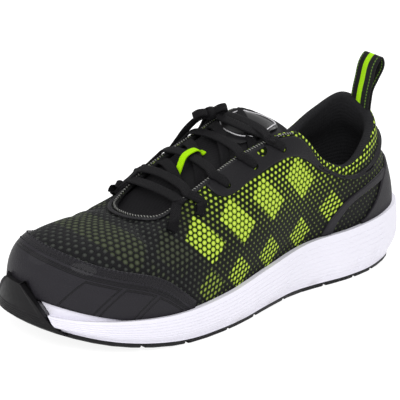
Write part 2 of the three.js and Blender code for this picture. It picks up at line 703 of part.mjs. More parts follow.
// rise: share of the height above the collar. lean: share of the lean to the back.
// open: share of the greatest distance between the two strands.
const pullShape = [
  { rise: 0.03, lean: 0, open: 0.3 },
  { rise: 0.28, lean: 0.08, open: 0.3 },
  { rise: 0.49, lean: 0.38, open: 0.58 },
  { rise: 0.735, lean: 0.75, open: 1 },
  { rise: 0.89, lean: 0.9, open: 0.78 },
];
function makePullLoop(body) {
  const base = rimAt(0).add(new THREE.Vector3(collarPad * 0.44, 0, collarPad * 0.35));
  const at = (row, side) =>
    new THREE.Vector3(base.x - row.lean * pull.lean + (side * row.open * pull.open) / 2, 0, base.z + row.rise * pull.rise);
  const root = { rise: -pull.root / pull.rise, lean: 0, open: pullShape[0].open };
  const top = { rise: 1, lean: 0.98, open: 0 };
  const rows = [root, ...pullShape];
  const raw = [...rows.map((row) => at(row, 1)), at(top, 0), ...rows.reverse().map((row) => at(row, -1))];
  const points = new THREE.CatmullRomCurve3(raw, false, "centripetal").getSpacedPoints(34);
  const loop = sweep(points, points.map(() => new THREE.Vector3(0, 1, 0)), () => band(pull.thick, pull.width));
  return loop.subtract(body);
}

// Knot, loops and ends of the bow; they lie over the inner side of the tongue.
const knotAt = new THREE.Vector3(-4, -15, 111.3);
// broad: the direction of the cord's broad side.
const bow = {
  lace_loop_front: { broad: [0.6, -0.5, 0.6], route: [[1.4, -15.4, 111.4], [4.4, -16.2, 111.8], [6.8, -17.4, 110.6]] },
  lace_loop_back: { broad: [0.6, -0.5, 0.6], route: [[-6.4, -9.4, 115.6], [-8, -8.4, 116.2], [-9.6, -7.8, 115.6]] },
  lace_end_front: {
    broad: [1, 0, 0.35],
    route: [
      [-1.1, -18.7, 109.2], [2.6, -22.2, 105], [5.6, -25.8, 98.8], [8.4, -28, 92.6],
      [12, -29.6, 86.4], [17, -31.2, 79], [22, -33.4, 72],
    ],
  },
  lace_end_back: {
    broad: [1, 0, 0.35],
    route: [
      [-4.8, -21.6, 109.6], [-8.6, -23.6, 108.6], [-12.2, -26.2, 105.8], [-13.2, -28.2, 101],
      [-11.6, -29.6, 95.4], [-8, -31, 88.4], [-3.6, -32.6, 80.4], [1, -34.4, 73],
    ],
  },
};
function cord({ broad, route }) {
  const curve = new THREE.CatmullRomCurve3(route.map((p) => new THREE.Vector3(...p)), false, "centripetal");
  const points = curve.getSpacedPoints(10);
  const side = new THREE.Vector3(...broad).normalize();
  return sweep(points, points.map(() => side), () => flatOval(laceThick * 1.1, laceWidth * 0.7));
}
function makeKnot() {
  const ball = new THREE.SphereGeometry(1, 12, 8);
  ball.scale(5, 5, 3.8);
  ball.translate(knotAt.x, knotAt.y, knotAt.z);
  return solidOf(ball);
}
// From the top eyelets to the knot.
function knotStrand(side) {
  const eye = laceEnds[0];
  const at = (station, share, lift) => upperOffset(side > 0 ? station : mirrored(station), share, lift);
  const list = [at(eye.station, eye.share, laceLift + 0.4), at(eye.station, 1, laceLift + 0.6)];
  if (side > 0) list.push(new THREE.Vector3(-16, 9, 111.8), new THREE.Vector3(-10.5, -4.5, 111.9));
  else list.push(new THREE.Vector3(-15, -18.5, 111));
  const end = knotAt.clone().sub(list[list.length - 1]).normalize();
  list.push(knotAt.clone().addScaledVector(end, -6));
  const steps = 10;
  const points = new THREE.CatmullRomCurve3(list, false, "centripetal").getSpacedPoints(steps);
  const foot = upperNormal(side > 0 ? eye.station : mirrored(eye.station), eye.share);
  const crown = new THREE.Vector3(0.3, 0, 1).normalize();
  const ups = points.map((_, k) => foot.clone().lerp(crown, smooth(0, 0.45, k / steps)).normalize());
  return sweep(points, ups, () => flatOval(laceWidth, laceThick));
}

const group = new THREE.Group();
function add(name, solid, color, roughness, metalness = 0) {
  const material = new THREE.MeshStandardMaterial({ color, roughness, metalness });
  const mesh = new THREE.Mesh(geometryOf(solid), material);
  mesh.name = name;
  group.add(mesh);
  return mesh;
}

const film = 0x2c2a30;
const textile = 0x1b1b1e;
add("midsole", makeMidsole().subtract(guardPlate(clearance * 2, 8)), 0xf2f0fa, 0.6);
add("outsole", makeOutsole(), 0x161518, 0.55);
add("upper", makeUpper(), 0x6a8a10, 0.85);
add("insole", makeInsole(), 0x1a1a1c, 0.9);
add("toe_cap", makeToeCap(), film, 0.55);
add("heel_counter", makeCounter(), film, 0.55);
add("eyestay_lateral", makeStay(1), film, 0.55);
add("eyestay_medial", makeStay(-1), film, 0.55);
add("tongue", makeTongue(), textile, 0.85);
add("tongue_patch", makePatch(), film, 0.6);
add("pull_loop", makePullLoop(makeUpper(clearance)), textile, 0.9);
for (const [k, eye] of eyelets.filter((row) => row.loop).entries()) {
  add(`webbing_lateral_${k + 1}`, webbingLoop(eye.station, eye.share), textile, 0.9);
  add(`webbing_medial_${k + 1}`, webbingLoop(mirrored(eye.station), eye.inner), textile, 0.9);
}
let laces = strand(laceEnds[4], laceEnds[4]).add(knotStrand(1)).add(knotStrand(-1));
for (let k = 0; k < 4; k++) {
  const [high, low] = [laceEnds[k], laceEnds[k + 1]];
  laces = laces.add(strand(high, low)).add(strand(low, high));
}
add("laces", laces, textile, 0.9);
const keeperCross = throatPath(laceEnds[2], laceEnds[3]).points[laceStops.indexOf(0.5)];
add("lace_keeper", makeKeeper(keeperCross), 0xb4e61e, 0.7);
add("lace_knot", makeKnot(), textile, 0.9);
for (const [name, list] of Object.entries(bow)) add(name, cord(list), textile, 0.9);

// The origin lies under the middle of the whole shoe.
const whole = new THREE.Box3().setFromObject(group);
const middle = whole.getCenter(new THREE.Vector3());
for (const mesh of group.children) mesh.geometry.translate(-middle.x, -middle.y, -whole.min.z);

export default group;
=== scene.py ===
import math
import bmesh
import bpy
import numpy as np
from mathutils import Matrix, Vector
from mathutils.bvhtree import BVHTree


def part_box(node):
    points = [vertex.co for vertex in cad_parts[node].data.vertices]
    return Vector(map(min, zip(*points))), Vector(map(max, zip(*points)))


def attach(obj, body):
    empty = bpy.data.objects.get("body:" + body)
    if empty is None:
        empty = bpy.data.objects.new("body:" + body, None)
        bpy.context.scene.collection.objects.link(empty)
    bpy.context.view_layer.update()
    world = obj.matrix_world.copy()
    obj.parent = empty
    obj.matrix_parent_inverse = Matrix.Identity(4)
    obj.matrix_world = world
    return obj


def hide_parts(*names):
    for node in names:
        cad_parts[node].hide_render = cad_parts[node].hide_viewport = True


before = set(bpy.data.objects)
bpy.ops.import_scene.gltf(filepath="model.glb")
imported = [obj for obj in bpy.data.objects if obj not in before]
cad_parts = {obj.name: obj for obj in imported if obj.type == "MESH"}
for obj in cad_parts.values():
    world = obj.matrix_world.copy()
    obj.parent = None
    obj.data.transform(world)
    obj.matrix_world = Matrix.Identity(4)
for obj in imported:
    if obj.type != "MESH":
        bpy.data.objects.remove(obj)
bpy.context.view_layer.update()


# Midsole
# One pressed block of white foam from heel to toe, cupped round the foot of the upper and cemented to it.
# Fine grooves run round its side; pairs of short upright flutes break them where the tread bends.

# along, across, edge, rim x, rim y, rim z, lean, crest, rise, reach: one row for each station round the shoe.
stations = np.array([
    (-1.0, 0.03, 44, -126, 0, 102.5, 6, 78, 22, 26),
    (-0.955, 0.456, 43, -121, 16, 95, 7, 76, 22, 24),
    (-0.82, 0.63, 38.5, -104, 27.5, 85, 6, 78, 20, 20),
    (-0.6, 0.708, 36, -84, 31.5, 75.5, 5, 80, 16, 14),
    (-0.33, 0.7, 34, -62, 30.5, 83, 4, 78, 18, 18),
    (-0.05, 0.86, 30, -36, 25.5, 106, 4, 62, 28, 26),
    (0.22, 1.0, 25, 2, 21.5, 98.5, 4, 50, 28, 24),
    (0.5, 1.02, 22, 38, 21, 83, 4, 40, 25, 22),
    (0.77, 0.82, 22.5, 60, 19, 70, 4, 20, 28, 28),
    (0.94, 0.4, 22.5, 70, 11, 67.5, 3, 10, 34, 44),
    (1.0, -0.12, 24, 73, -1, 66.5, 3, 8, 36, 52),
    (0.95, -0.55, 23, 70, -12, 66, 3, 10, 34, 46),
    (0.8, -0.86, 23, 60, -20, 68, 4, 26, 28, 30),
    (0.55, -1.0, 22, 38, -20, 83.5, 4, 62, 25, 22),
    (0.28, -0.91, 26, 2, -20, 98, 4, 68, 28, 24),
    (0.0, -0.7, 31, -37, -25, 106, 6, 72, 28, 26),
    (-0.3, -0.6, 35, -62, -30, 86, 7, 78, 18, 18),
    (-0.58, -0.66, 37, -85, -32, 78.5, 6, 80, 16, 14),
    (-0.82, -0.62, 40, -107, -29, 91.5, 6, 78, 20, 20),
    (-0.955, -0.36, 43, -121, -17, 105, 7, 76, 22, 24),
], float)
knot_low, knot_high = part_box("lace_knot")
knot_at = np.array([-4.0, -15.0, 111.3])
to_frame = np.array((knot_low + knot_high) / 2) * 1000 - knot_at


def unit(v):
    return v / np.maximum(np.linalg.norm(v, axis=-1, keepdims=True), 1e-9)


def blend(a, b, share):
    return a + (b - a) * share


def ease(low, high, v):
    w = np.clip((v - low) / (high - low), 0, 1)
    return w * w * (3 - 2 * w)


def curve(before, here, after, beyond, w):
    """The smooth curve from here to after, for shares w of the way."""
    leave, arrive = (after - before) / 2, (beyond - here) / 2
    bend = -3 * here + 3 * after - 2 * leave - arrive
    return here + leave * w + bend * w**2 + (2 * here - 2 * after + leave + arrive) * w**3


def bow(first, start, finish, last, w):
    """A cubic bow from first to last that leaves towards start and arrives from finish."""
    return (1 - w)**3 * first + 3 * w * (1 - w)**2 * start + 3 * w**2 * (1 - w) * finish + w**3 * last


def around(first, last, s):
    rows = stations[:, first:last]
    count = len(rows)
    s = np.mod(s, count)
    k = np.floor(s).astype(int)
    w = (s - k)[..., None]
    return curve(*(rows[(k + j) % count] for j in (-1, 0, 1, 2)), w)


def outline(s):
    return around(0, 3, s) * (150, 55, 1)


def outward(s):
    run = outline(s + 0.05) - outline(s - 0.05)
    return unit(np.stack([-run[..., 1], run[..., 0], np.zeros_like(run[..., 0])], -1))


def tread(x):
    toe = 15 * np.maximum(0, (x - 46) / 104) ** 1.9
    heel = 6.5 * np.maximum(0, (-104 - x) / 46) ** 2
    return toe + heel + ease(-60, -30, x) * (1 - ease(-14, 12, x))


def foam_under(x):
    return tread(x) + 3.1


def bed(x):
    return foam_under(x) + blend(25, 14, ease(-70, 60, x))


def drawn_in(s, inset, height=None):
    """Points inside the outline, at its own height, at the one given or at the one found from x."""
    p = outline(s) - outward(s) * np.asarray(inset)[..., None]
    if height is not None:
        p[..., 2] = height(p[..., 0]) if callable(height) else height
    return p


def foot_of_upper(s):
    return drawn_in(s, 7.1, lambda x: bed(x) + 0.3)


def upper_at(s, t):
    foot = foot_of_upper(s)
    rim = around(3, 6, s)
    lean, crest = np.radians(np.moveaxis(around(6, 8, s), -1, 0))
    rise, reach = np.moveaxis(around(8, 10, s), -1, 0)
    out = outward(s)
    inward = rim - foot
    inward[..., 2] = 0
    inward = unit(inward - 20 * out)
    up = np.array([0.0, 0.0, 1.0])
    low = foot + out * (rise * np.sin(lean))[..., None] + up * (rise * np.cos(lean))[..., None]
    high = rim - inward * (reach * np.cos(crest))[..., None] - up * (reach * np.sin(crest))[..., None]
    return bow(foot, low, high, rim, np.asarray(t)[..., None])


def normal_at(s, t):
    along = upper_at(s + 0.04, t) - upper_at(s - 0.04, t)
    up = upper_at(s, np.minimum(t + 0.01, 1)) - upper_at(s, np.maximum(t - 0.01, 0))
    return unit(np.cross(up, along))


def off_upper(s, t, lift):
    s, t, lift = np.broadcast_arrays(np.asarray(s, float), np.asarray(t, float), np.asarray(lift, float))
    return upper_at(s, t) + normal_at(s, t) * lift[..., None]


def spot_on(s, t, lift):
    return off_upper(np.array([s]), np.array([t]), lift)[0]


def facing_at(s, t):
    return normal_at(np.array([s]), np.array([t]))[0]


def share_at(s, height):
    """How far up the upper a height is, as a share from its foot to its rim."""
    low = np.zeros_like(s)
    high = np.ones_like(s)
    for _ in range(22):
        middle = (low + high) / 2
        under = upper_at(s, middle)[..., 2] < height
        low = np.where(under, middle, low)
        high = np.where(under, high, middle)
    return low


def placed(name, data):
    made = bpy.data.objects.new(name, data)
    bpy.context.scene.collection.objects.link(made)
    return made


def riding(bm, name, paints):
    """Turns a bmesh that is in the frame already into a piece that rides on the shoe."""
    mesh = bpy.data.meshes.new(name)
    bm.to_mesh(mesh)
    bm.free()
    mesh.shade_smooth()
    for paint in paints:
        mesh.materials.append(paint)
    piece = placed(name, mesh)
    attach(piece, "root")
    return piece


def finished(bm, name, paint, smooth_to=None):
    """Turns a bmesh in millimetres into a piece in the frame that rides on the shoe."""
    bmesh.ops.recalc_face_normals(bm, faces=bm.faces)
    if any(edge.is_boundary for edge in bm.edges):
        facing = 0.0
        for face in bm.faces:
            spot = face.calc_center_median()
            within = Vector((spot.x * 0.85, 0, 40))
            facing += face.normal.dot(spot - within) * face.calc_area()
        if facing < 0:
            bmesh.ops.reverse_faces(bm, faces=bm.faces)
    bmesh.ops.translate(bm, verts=bm.verts, vec=Vector(to_frame))
    bmesh.ops.scale(bm, verts=bm.verts, vec=(0.001, 0.001, 0.001))
    piece = riding(bm, name, paint if isinstance(paint, list) else [paint])
    if smooth_to:
        piece.data.set_sharp_from_angle(angle=math.radians(smooth_to))
    return piece


def laid(columns, rows, shape, joined=False):
    """A grid of faces whose points shape places, in millimetres; its UV map gives the shares along and up."""
    bm = bmesh.new()
    bmesh.ops.create_grid(bm, x_segments=columns, y_segments=rows, size=0.5)
    place = bm.loops.layers.uv.new("place")
    for face in bm.faces:
        for loop in face.loops:
            loop[place].uv = loop.vert.co.xy + Vector((0.5, 0.5))
    grid = np.array([v.co[:2] for v in bm.verts]) + 0.5
    for vert, point in zip(bm.verts, shape(grid[:, 0], grid[:, 1])):
        vert.co = point
    if joined:
        bmesh.ops.remove_doubles(bm, verts=bm.verts, dist=0.002)
    return bm


def operation(name):
    """A method of Value that puts a maths node behind it."""
    def method(self, *others):
        return self.paint.node("Math", {"operation": name}, dict(enumerate((self, *others))))
    return method


class Value:
    """A socket of a material's node, so that shader maths reads as plain sums."""

    __add__ = __radd__ = operation("ADD")
    __sub__ = operation("SUBTRACT")
    __mul__ = __rmul__ = operation("MULTIPLY")
    __truediv__ = operation("DIVIDE")
    __pow__ = operation("POWER")
    __abs__ = operation("ABSOLUTE")
    low = operation("MINIMUM")
    high = operation("MAXIMUM")
    rest = operation("FRACT")
    wave = operation("SINE")

    def __init__(self, paint, socket):
        self.paint = paint
        self.socket = socket

    def __rsub__(self, other):
        return self.paint.node("Math", {"operation": "SUBTRACT"}, {0: other, 1: self})

    def zigzag(self):
        """How far the value is from the middle between two whole numbers."""
        return abs(self.rest() - 0.5)

    def step(self, low, high):
        values = {"Value": self, "From Min": low, "From Max": high}
        return self.paint.node("MapRange", {"interpolation_type": "SMOOTHSTEP"}, values)


def highest(values):
    top = values[0]
    for value in values[1:]:
        top = top.high(value)
    return top


class Paint:
    """One material, made node by node."""

    def __init__(self, name):
        self.material = bpy.data.materials.new(name)
        self.material.use_nodes = True
        self.material.node_tree.nodes.clear()
        self.where = None

    def node(self, kind, settings, values, out=0):
        made = self.material.node_tree.nodes.new("ShaderNode" + kind)
        for key, setting in settings.items():
            setattr(made, key, setting)
        for key, value in values.items():
            if isinstance(value, Value):
                self.material.node_tree.links.new(value.socket, made.inputs[key])
            else:
                made.inputs[key].default_value = value
        return Value(self, made.outputs[out]) if len(made.outputs) else None

    def object_place(self):
        if self.where is None:
            self.where = self.node("TexCoord", {}, {}, "Object")
        return self.where

    def axes(self, name=None):
        """The three parts of the place on the object, or on the UV map of that name."""
        vector = self.node("UVMap", {"uv_map": name}, {}) if name else self.object_place()
        return [self.node("SeparateXYZ", {}, {0: vector}, k) for k in range(3)]

    def noise(self, scale, detail=2.0):
        values = {"Vector": self.object_place(), "Scale": scale, "Detail": detail}
        return self.node("TexNoise", {}, values)

    def mix(self, share, first, second):
        colours = [(*c, 1.0) if isinstance(c, tuple) else c for c in (first, second)]
        return self.node("Mix", {"data_type": "RGBA"}, {0: share, 6: colours[0], 7: colours[1]}, 2)

    def done(self, colour, rough, height=None, depth=0.0003, coat=0.0, specular=0.22, metal=0.0, glow=0.0):
        """Ends the material: bump from a height of 0 to 1 that stands for depth metres."""
        values = {"Base Color": (*colour, 1.0) if isinstance(colour, tuple) else colour, "Roughness": rough}
        values.update({"Coat Weight": coat, "Specular IOR Level": specular, "Metallic": metal})
        values.update({"Emission Color": (1.0, 1.0, 1.0, 1.0), "Emission Strength": glow})
        if height is not None:
            values["Normal"] = self.node("Bump", {}, {"Strength": 1.0, "Distance": depth, "Height": height})
        shader = self.node("BsdfPrincipled", {}, values)
        self.node("OutputMaterial", {}, {"Surface": shader})
        return self.material


def foam_paint():
    paint = Paint("pressed_white_foam")
    z = paint.axes()[2]
    cloud = paint.noise(24.0, 3.0)
    skin = paint.noise(900.0, 2.0)
    # Painted shade near the floor: the foam is greyed in noisy patches over its lowest centimetre, fading out
    # between 2 and 12 mm above the floor.
    floor_shade_patches = (1 - z.step(0.002, 0.012)) * paint.noise(70.0, 4.0).step(0.5, 0.75)
    clean = paint.mix(cloud, (0.73, 0.715, 0.79), (0.77, 0.755, 0.83))
    colour = paint.mix(floor_shade_patches * 0.5, clean, (0.52, 0.50, 0.52))
    return paint.done(colour, 0.5 + skin * 0.12, skin * 0.5 + cloud * 0.5, 0.00012, coat=0.06)


STATIONS = len(stations)
WALL_ROWS = 76  # two rows under the foam, 71 up its side, three over its lip and down into the cup
flutes = [-116, -99, -72, -31, 0, 35, 71]  # middle of each group of upright flutes, mm along the shoe


def midsole_wall(a, b):
    s = a * STATIONS
    row = np.rint(b * WALL_ROWS)
    share = np.clip((row - 2) / 70, 0, 1)
    edge = outline(s)[:, 2]
    low = tread(drawn_in(s, 4.5)[:, 0]) + 3.8
    under = 4.5 * (1 - np.sin(np.minimum(share, 0.42) / 0.42 * math.pi / 2))
    over = 2.8 * (np.maximum(0, share - 0.42) / 0.58) ** 1.6
    x = outline(s)[:, 0]
    where = np.mod(share * 9.5 + 0.5, 1) - 0.5
    band = ease(0.06, 0.1, share) * (1 - ease(0.84, 0.9, share))
    heel_panel = ease(-121, -125, x)
    groove = 0.42 * np.exp(-(where / 0.16) ** 2) * band * (1 - heel_panel)
    flute = 0 * x
    for middle in flutes:
        near = x - middle - 6 * (share - 0.3)
        flute += np.exp(-(near / 1.1) ** 2) + np.exp(-((near - 3.6) / 1.1) ** 2)
    flute *= 0.75 * ease(0.0, 0.06, share) * (1 - ease(0.3, 0.55, share))
    p = drawn_in(s, under + over + groove + flute, blend(low, edge, share))
    floor, centre = (drawn_in(s, inset, foam_under) for inset in (4.1, 24))
    cup, inside = (drawn_in(s, inset, bed) for inset in (6.8, 24))
    lip = off_upper(s, share_at(s, edge - 0.8), 0.3)
    lip[:, 2] = edge - 0.8
    for k, ring in ((0, centre), (1, floor), (74, lip), (75, cup), (76, inside)):
        p = np.where((row == k)[:, None], ring, p)
    p = np.where((row == 73)[:, None], blend(p, lip, 0.3), p)
    return p


GUARD_MIDDLE, GUARD_FOOT, GUARD_HEAD = 10.12, 1.05, 0.3  # its middle station, and stations each way
GUARD_TOP = 37


def guard_at(a, b, lift, wide=0.0, drop=0.0):
    """A point on the toe guard, or on the room for it in the foam, at its height and off the upper's foot."""
    reach = blend(GUARD_FOOT, GUARD_HEAD, b**1.4) + 0.3 * np.maximum(0, 1 - b / 0.3)**2 + wide
    s = GUARD_MIDDLE + (2 * a - 1) * reach
    height = blend(tread(outline(s)[:, 0]) + 1 - drop, GUARD_TOP + drop / 4, b)
    foot = foot_of_upper(s)
    base = np.where((height <= foot[:, 2])[:, None], foot, upper_at(s, share_at(s, height)))
    base[:, 2] = height
    return base + outward(s) * np.asarray(lift)[..., None]


def cut(piece, cutter):
    """Takes the cutter's shape out of a piece and keeps the result as its mesh."""
    saw = piece.modifiers.new("cut", "BOOLEAN")
    saw.object = cutter
    saw.operation = "DIFFERENCE"
    saw.solver = "EXACT"
    bpy.context.view_layer.update()
    shaped = bpy.data.meshes.new_from_object(piece.evaluated_get(bpy.context.evaluated_depsgraph_get()))
    piece.modifiers.clear()
    old = piece.data
    piece.data = shaped
    shaped.name = old.name
    shaped.set_sharp_from_angle(angle=math.radians(32))
    bpy.data.meshes.remove(old)
    bpy.data.objects.remove(cutter)


bm = laid(420, WALL_ROWS, midsole_wall, joined=True)
bmesh.ops.holes_fill(bm, edges=bm.edges, sides=0)
midsole = finished(bm, "midsole_foam", foam_paint())
bm = laid(30, 12, lambda a, b: guard_at(a, b, -4, 0.045, 4))
rim = bmesh.ops.extrude_face_region(bm, geom=bm.faces[:])
for vert in [g for g in rim["geom"] if isinstance(g, bmesh.types.BMVert)]:
    outwards = Vector((vert.co.x - 120, vert.co.y + 2, 0)).normalized()
    vert.co += outwards * 16
cut(midsole, finished(bm, "guard_room", midsole.data.materials[0]))
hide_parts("midsole")


# Outsole
# A thin black rubber tread with cross grooves and a long channel, vulcanised under the foam.
# At the toe the same rubber runs up as a bumper with four low ribs and a raised back edge.
def rubber_paint():
    paint = Paint("black_rubber")
    x, y, z = paint.axes()
    side = paint.noise(420.0, 3.0)
    lug = ((x + abs(y) * 0.7) * 230.0).zigzag().step(0.08, 0.16)
    under = 1 - z.step(0.0005, 0.0022)
    dust = paint.noise(60.0, 4.0).step(0.5, 0.8) * 0.4
    colour = paint.mix(dust, (0.004, 0.0037, 0.0045), (0.012, 0.0115, 0.0125))
    return paint.done(colour, 0.42 + side * 0.2, side * 0.2 + lug * under, 0.0006)


outsole_rubber = rubber_paint()
tread_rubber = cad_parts["outsole"]
tread_rubber.data.materials.clear()
tread_rubber.data.materials.append(outsole_rubber)


def bumper(a, b):
    rib = np.exp(-((np.mod(b * 16, 1) - 0.5) / 0.2) ** 2) * (b < 0.31) * 0.9
    frame_edge = np.maximum(ease(0.9, 0.95, a), 1 - ease(0.05, 0.1, a)) * 0.7
    crown = np.sin(b * math.pi) * np.sin(a * math.pi)
    return guard_at(a, b, 5.25 + rib * (1 - ease(0.88, 0.94, abs(2 * a - 1))) + frame_edge + crown)


def thickened(piece, millimetres):
    """Gives an open sheet its thickness, inwards from its outer face."""
    back = piece.modifiers.new("back", "SOLIDIFY")
    back.thickness = millimetres / 1000
    back.offset = -1


toe_bumper = finished(laid(64, 48, bumper), "toe_bumper", outsole_rubber)
thickened(toe_bumper, 4.2)
soft_edge = toe_bumper.modifiers.new("edge", "BEVEL")
soft_edge.width = 0.0007
soft_edge.segments = 2
soft_edge.limit_method = "ANGLE"


# Upper
# One closed shell: outside, an open black mesh over bright lime foam; inside, the padded collar and lining.
# It is lasted under the insole board, and brighter blocks of lime foam show through the mesh on both sides.
OUTSIDE, ROLL, INSIDE = 56, 8, 14  # rows of the grid
CLOTH_THICK, COLLAR_THICK = 2.2, 7.5


def padding(s, t):
    collar = 1 - ease(-52, -30, around(3, 4, s)[..., 0])
    return blend(CLOTH_THICK, COLLAR_THICK, collar * ease(0.58, 0.86, t))


def creases(p):
    """Shallow folds across the flex line of the vamp."""
    x, y = p[:, 0], p[:, 1]
    top = ease(44, 58, p[:, 2])
    fold = np.exp(-((x - 76 - 0.10 * y - 0.004 * y**2) / 3.2) ** 2) * 0.9
    fold += np.exp(-((x - 89 + 0.16 * y + 0.006 * y**2) / 3.8) ** 2) * 0.7
    fold += np.exp(-((x - 61 + 0.30 * abs(y)) / 3.5) ** 2) * 0.5
    return fold * top


def shell(a, b):
    s = a * STATIONS
    row = np.rint(b * (OUTSIDE + ROLL + INSIDE + 1))
    t = np.clip(row / OUTSIDE, 0, 1)
    p = off_upper(s, t, 0.0)
    p -= normal_at(s, t) * (creases(p) * ease(0.05, 0.15, t))[:, None]
    half = padding(s, 1) / 2
    n = normal_at(s, 1)
    along = unit(upper_at(s, 1) - upper_at(s, 0.97))
    turn = np.clip((row - OUTSIDE) / ROLL, 0, 1) * math.pi
    roll = upper_at(s, 1) - n * half[:, None]
    roll += n * (half * np.cos(turn))[:, None] + along * (0.75 * half * np.sin(turn))[:, None]
    down = 1 - np.clip((row - OUTSIDE - ROLL) / INSIDE, 0, 1)
    inner = off_upper(s, down, -padding(s, down))
    p = np.where((row > OUTSIDE)[:, None], roll, p)
    p = np.where((row > OUTSIDE + ROLL)[:, None], inner, p)
    closing = off_upper(s, 0.0, 0.0)
    return np.where((row > OUTSIDE + ROLL + INSIDE)[:, None], closing, p)


# Middle of each block of bright foam along and up, half its length and width, mm, and how bright it is.
foam_blocks = [
    (45, 57, 11.5, 7.5, 1.0), (18.5, 64, 11.5, 7.5, 1.0), (-8.5, 72, 11.5, 7.5, 1.0),
    (-38, 78.5, 11.5, 7.5, 1.0), (20, 34, 7.4, 7.4, 0.9), (-10, 38.5, 7.4, 7.4, 0.95),
    (-42, 42, 7.6, 7.6, 0.95), (-69, 54, 7.6, 7.6, 0.95),
    (45, 31, 7.6, 7.6, 0.36), (68, 53, 10, 8, 0.022), (98, 62, 12, 9, 0.03), (84, 41, 8, 7, 0.02),
]


def mesh_paint():
    paint = Paint("open_mesh_over_lime_foam")
    x, _, z = paint.axes()
    share = paint.axes("place")[1] * ((OUTSIDE + ROLL + INSIDE + 1) / OUTSIDE)
    u, v, _ = paint.axes("cloth")
    masks = []
    for along, up, long, wide, _ in foam_blocks:
        dx = x - (along + to_frame[0]) * 0.001
        dz = z - (up + to_frame[2]) * 0.001
        one = (dx + dz) * 0.7071
        two = (dx - dz) * 0.7071
        inside = (abs(one) - long * 0.001).high(abs(two) - wide * 0.001)
        masks.append(1 - inside.step(-0.0006, 0.0012))
    block = highest(masks)
    glow = highest([mask * row[4] for mask, row in zip(masks, foam_blocks)])
    lower = 1 - z.step(0.046, 0.052)
    heelward = 1 - x.step(-0.062, -0.055)
    collar_zone = share.step(0.9, 0.93) * (1 - x.step(-0.052, -0.044))
    stretch = (lower.high(heelward) * block).high(collar_zone)
    pitch = 3.75
    p = u / pitch
    q = v / (pitch * math.sqrt(3))
    gaps = []
    for shift in (0.0, 0.5):
        du = ((p + shift).rest() - 0.5) * pitch * (1 + stretch * 0.55)
        dv = ((q + shift).rest() - 0.5) * pitch * math.sqrt(3)
        gaps.append((du * du + dv * dv) ** 0.5)
    nearest = gaps[0].low(gaps[1])
    upper_side = z.step(0.048, 0.092)
    front = x.step(0.028, 0.066)
    rear = 1 - x.step(-0.085, -0.055)
    lively = (upper_side * 0.72 + 0.12) * (1 - front) * (1 - rear * 0.75)
    bright = glow.high(lively).high(collar_zone)
    size = 0.9 + 0.34 * lively + front * 0.32
    size = size + block * (1.72 - size) * (1 - front * 0.35)
    size = size + collar_zone * (1.45 - size)
    hole = 1 - (nearest - size).step(-0.32, 0.25)
    # Painted shade and painted highlight: each hole is painted brightest at its centre and darker towards its
    # rim, where the net's edge shades the foam below; in the dull cells this gives a pale painted highlight
    # dot.
    depth = 1 - (nearest / size).low(1.0)
    lime = paint.mix(depth ** 0.7, (0.16, 0.27, 0.004), (0.60, 0.77, 0.10))
    dull = paint.mix(depth, (0.010, 0.011, 0.010), (0.050, 0.054, 0.048))
    cell = paint.mix((bright * 1.25).low(1.0), dull, lime)
    thread = (u * 0.9).zigzag() * 0.5 + paint.noise(1400.0, 2.0) * 0.5
    yarn = paint.mix(thread, (0.002, 0.002, 0.0025), (0.009, 0.0085, 0.010))
    plain = paint.mix((bright * 1.2).low(1.0), yarn, (0.004, 0.007, 0.001))
    colour = paint.mix(hole, plain, cell)
    tone = paint.noise(45.0, 2.0).step(0.3, 0.75) * 0.2
    colour = paint.mix(tone * (1 - hole), colour, (0.012, 0.012, 0.014))
    return paint.done(colour, 0.62 + hole * 0.15, 1 - hole, 0.0005, specular=0.12)


def lining_paint():
    paint = Paint("black_knit_lining")
    u, v, _ = paint.axes("place")
    knit = abs((u * 900.0).wave()) * abs((v * 520.0).wave())
    fluff = paint.noise(700.0, 3.0)
    colour = paint.mix(fluff, (0.007, 0.007, 0.008), (0.02, 0.02, 0.022))
    return paint.done(colour, 0.92, knit * 0.7 + fluff * 0.3, 0.0004, specular=0.2)


lining = lining_paint()
bm = laid(360, OUTSIDE + ROLL + INSIDE + 1, shell)
inner_from = (OUTSIDE + ROLL * 0.3) / (OUTSIDE + ROLL + INSIDE + 1)
place = bm.loops.layers.uv["place"]
for face in bm.faces:
    face.material_index = int(sum(loop[place].uv.y for loop in face.loops) / len(face.loops) > inner_from)
bmesh.ops.remove_doubles(bm, verts=bm.verts, dist=0.002)
upper = finished(bm, "mesh_upper", [mesh_paint(), lining])
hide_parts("upper")


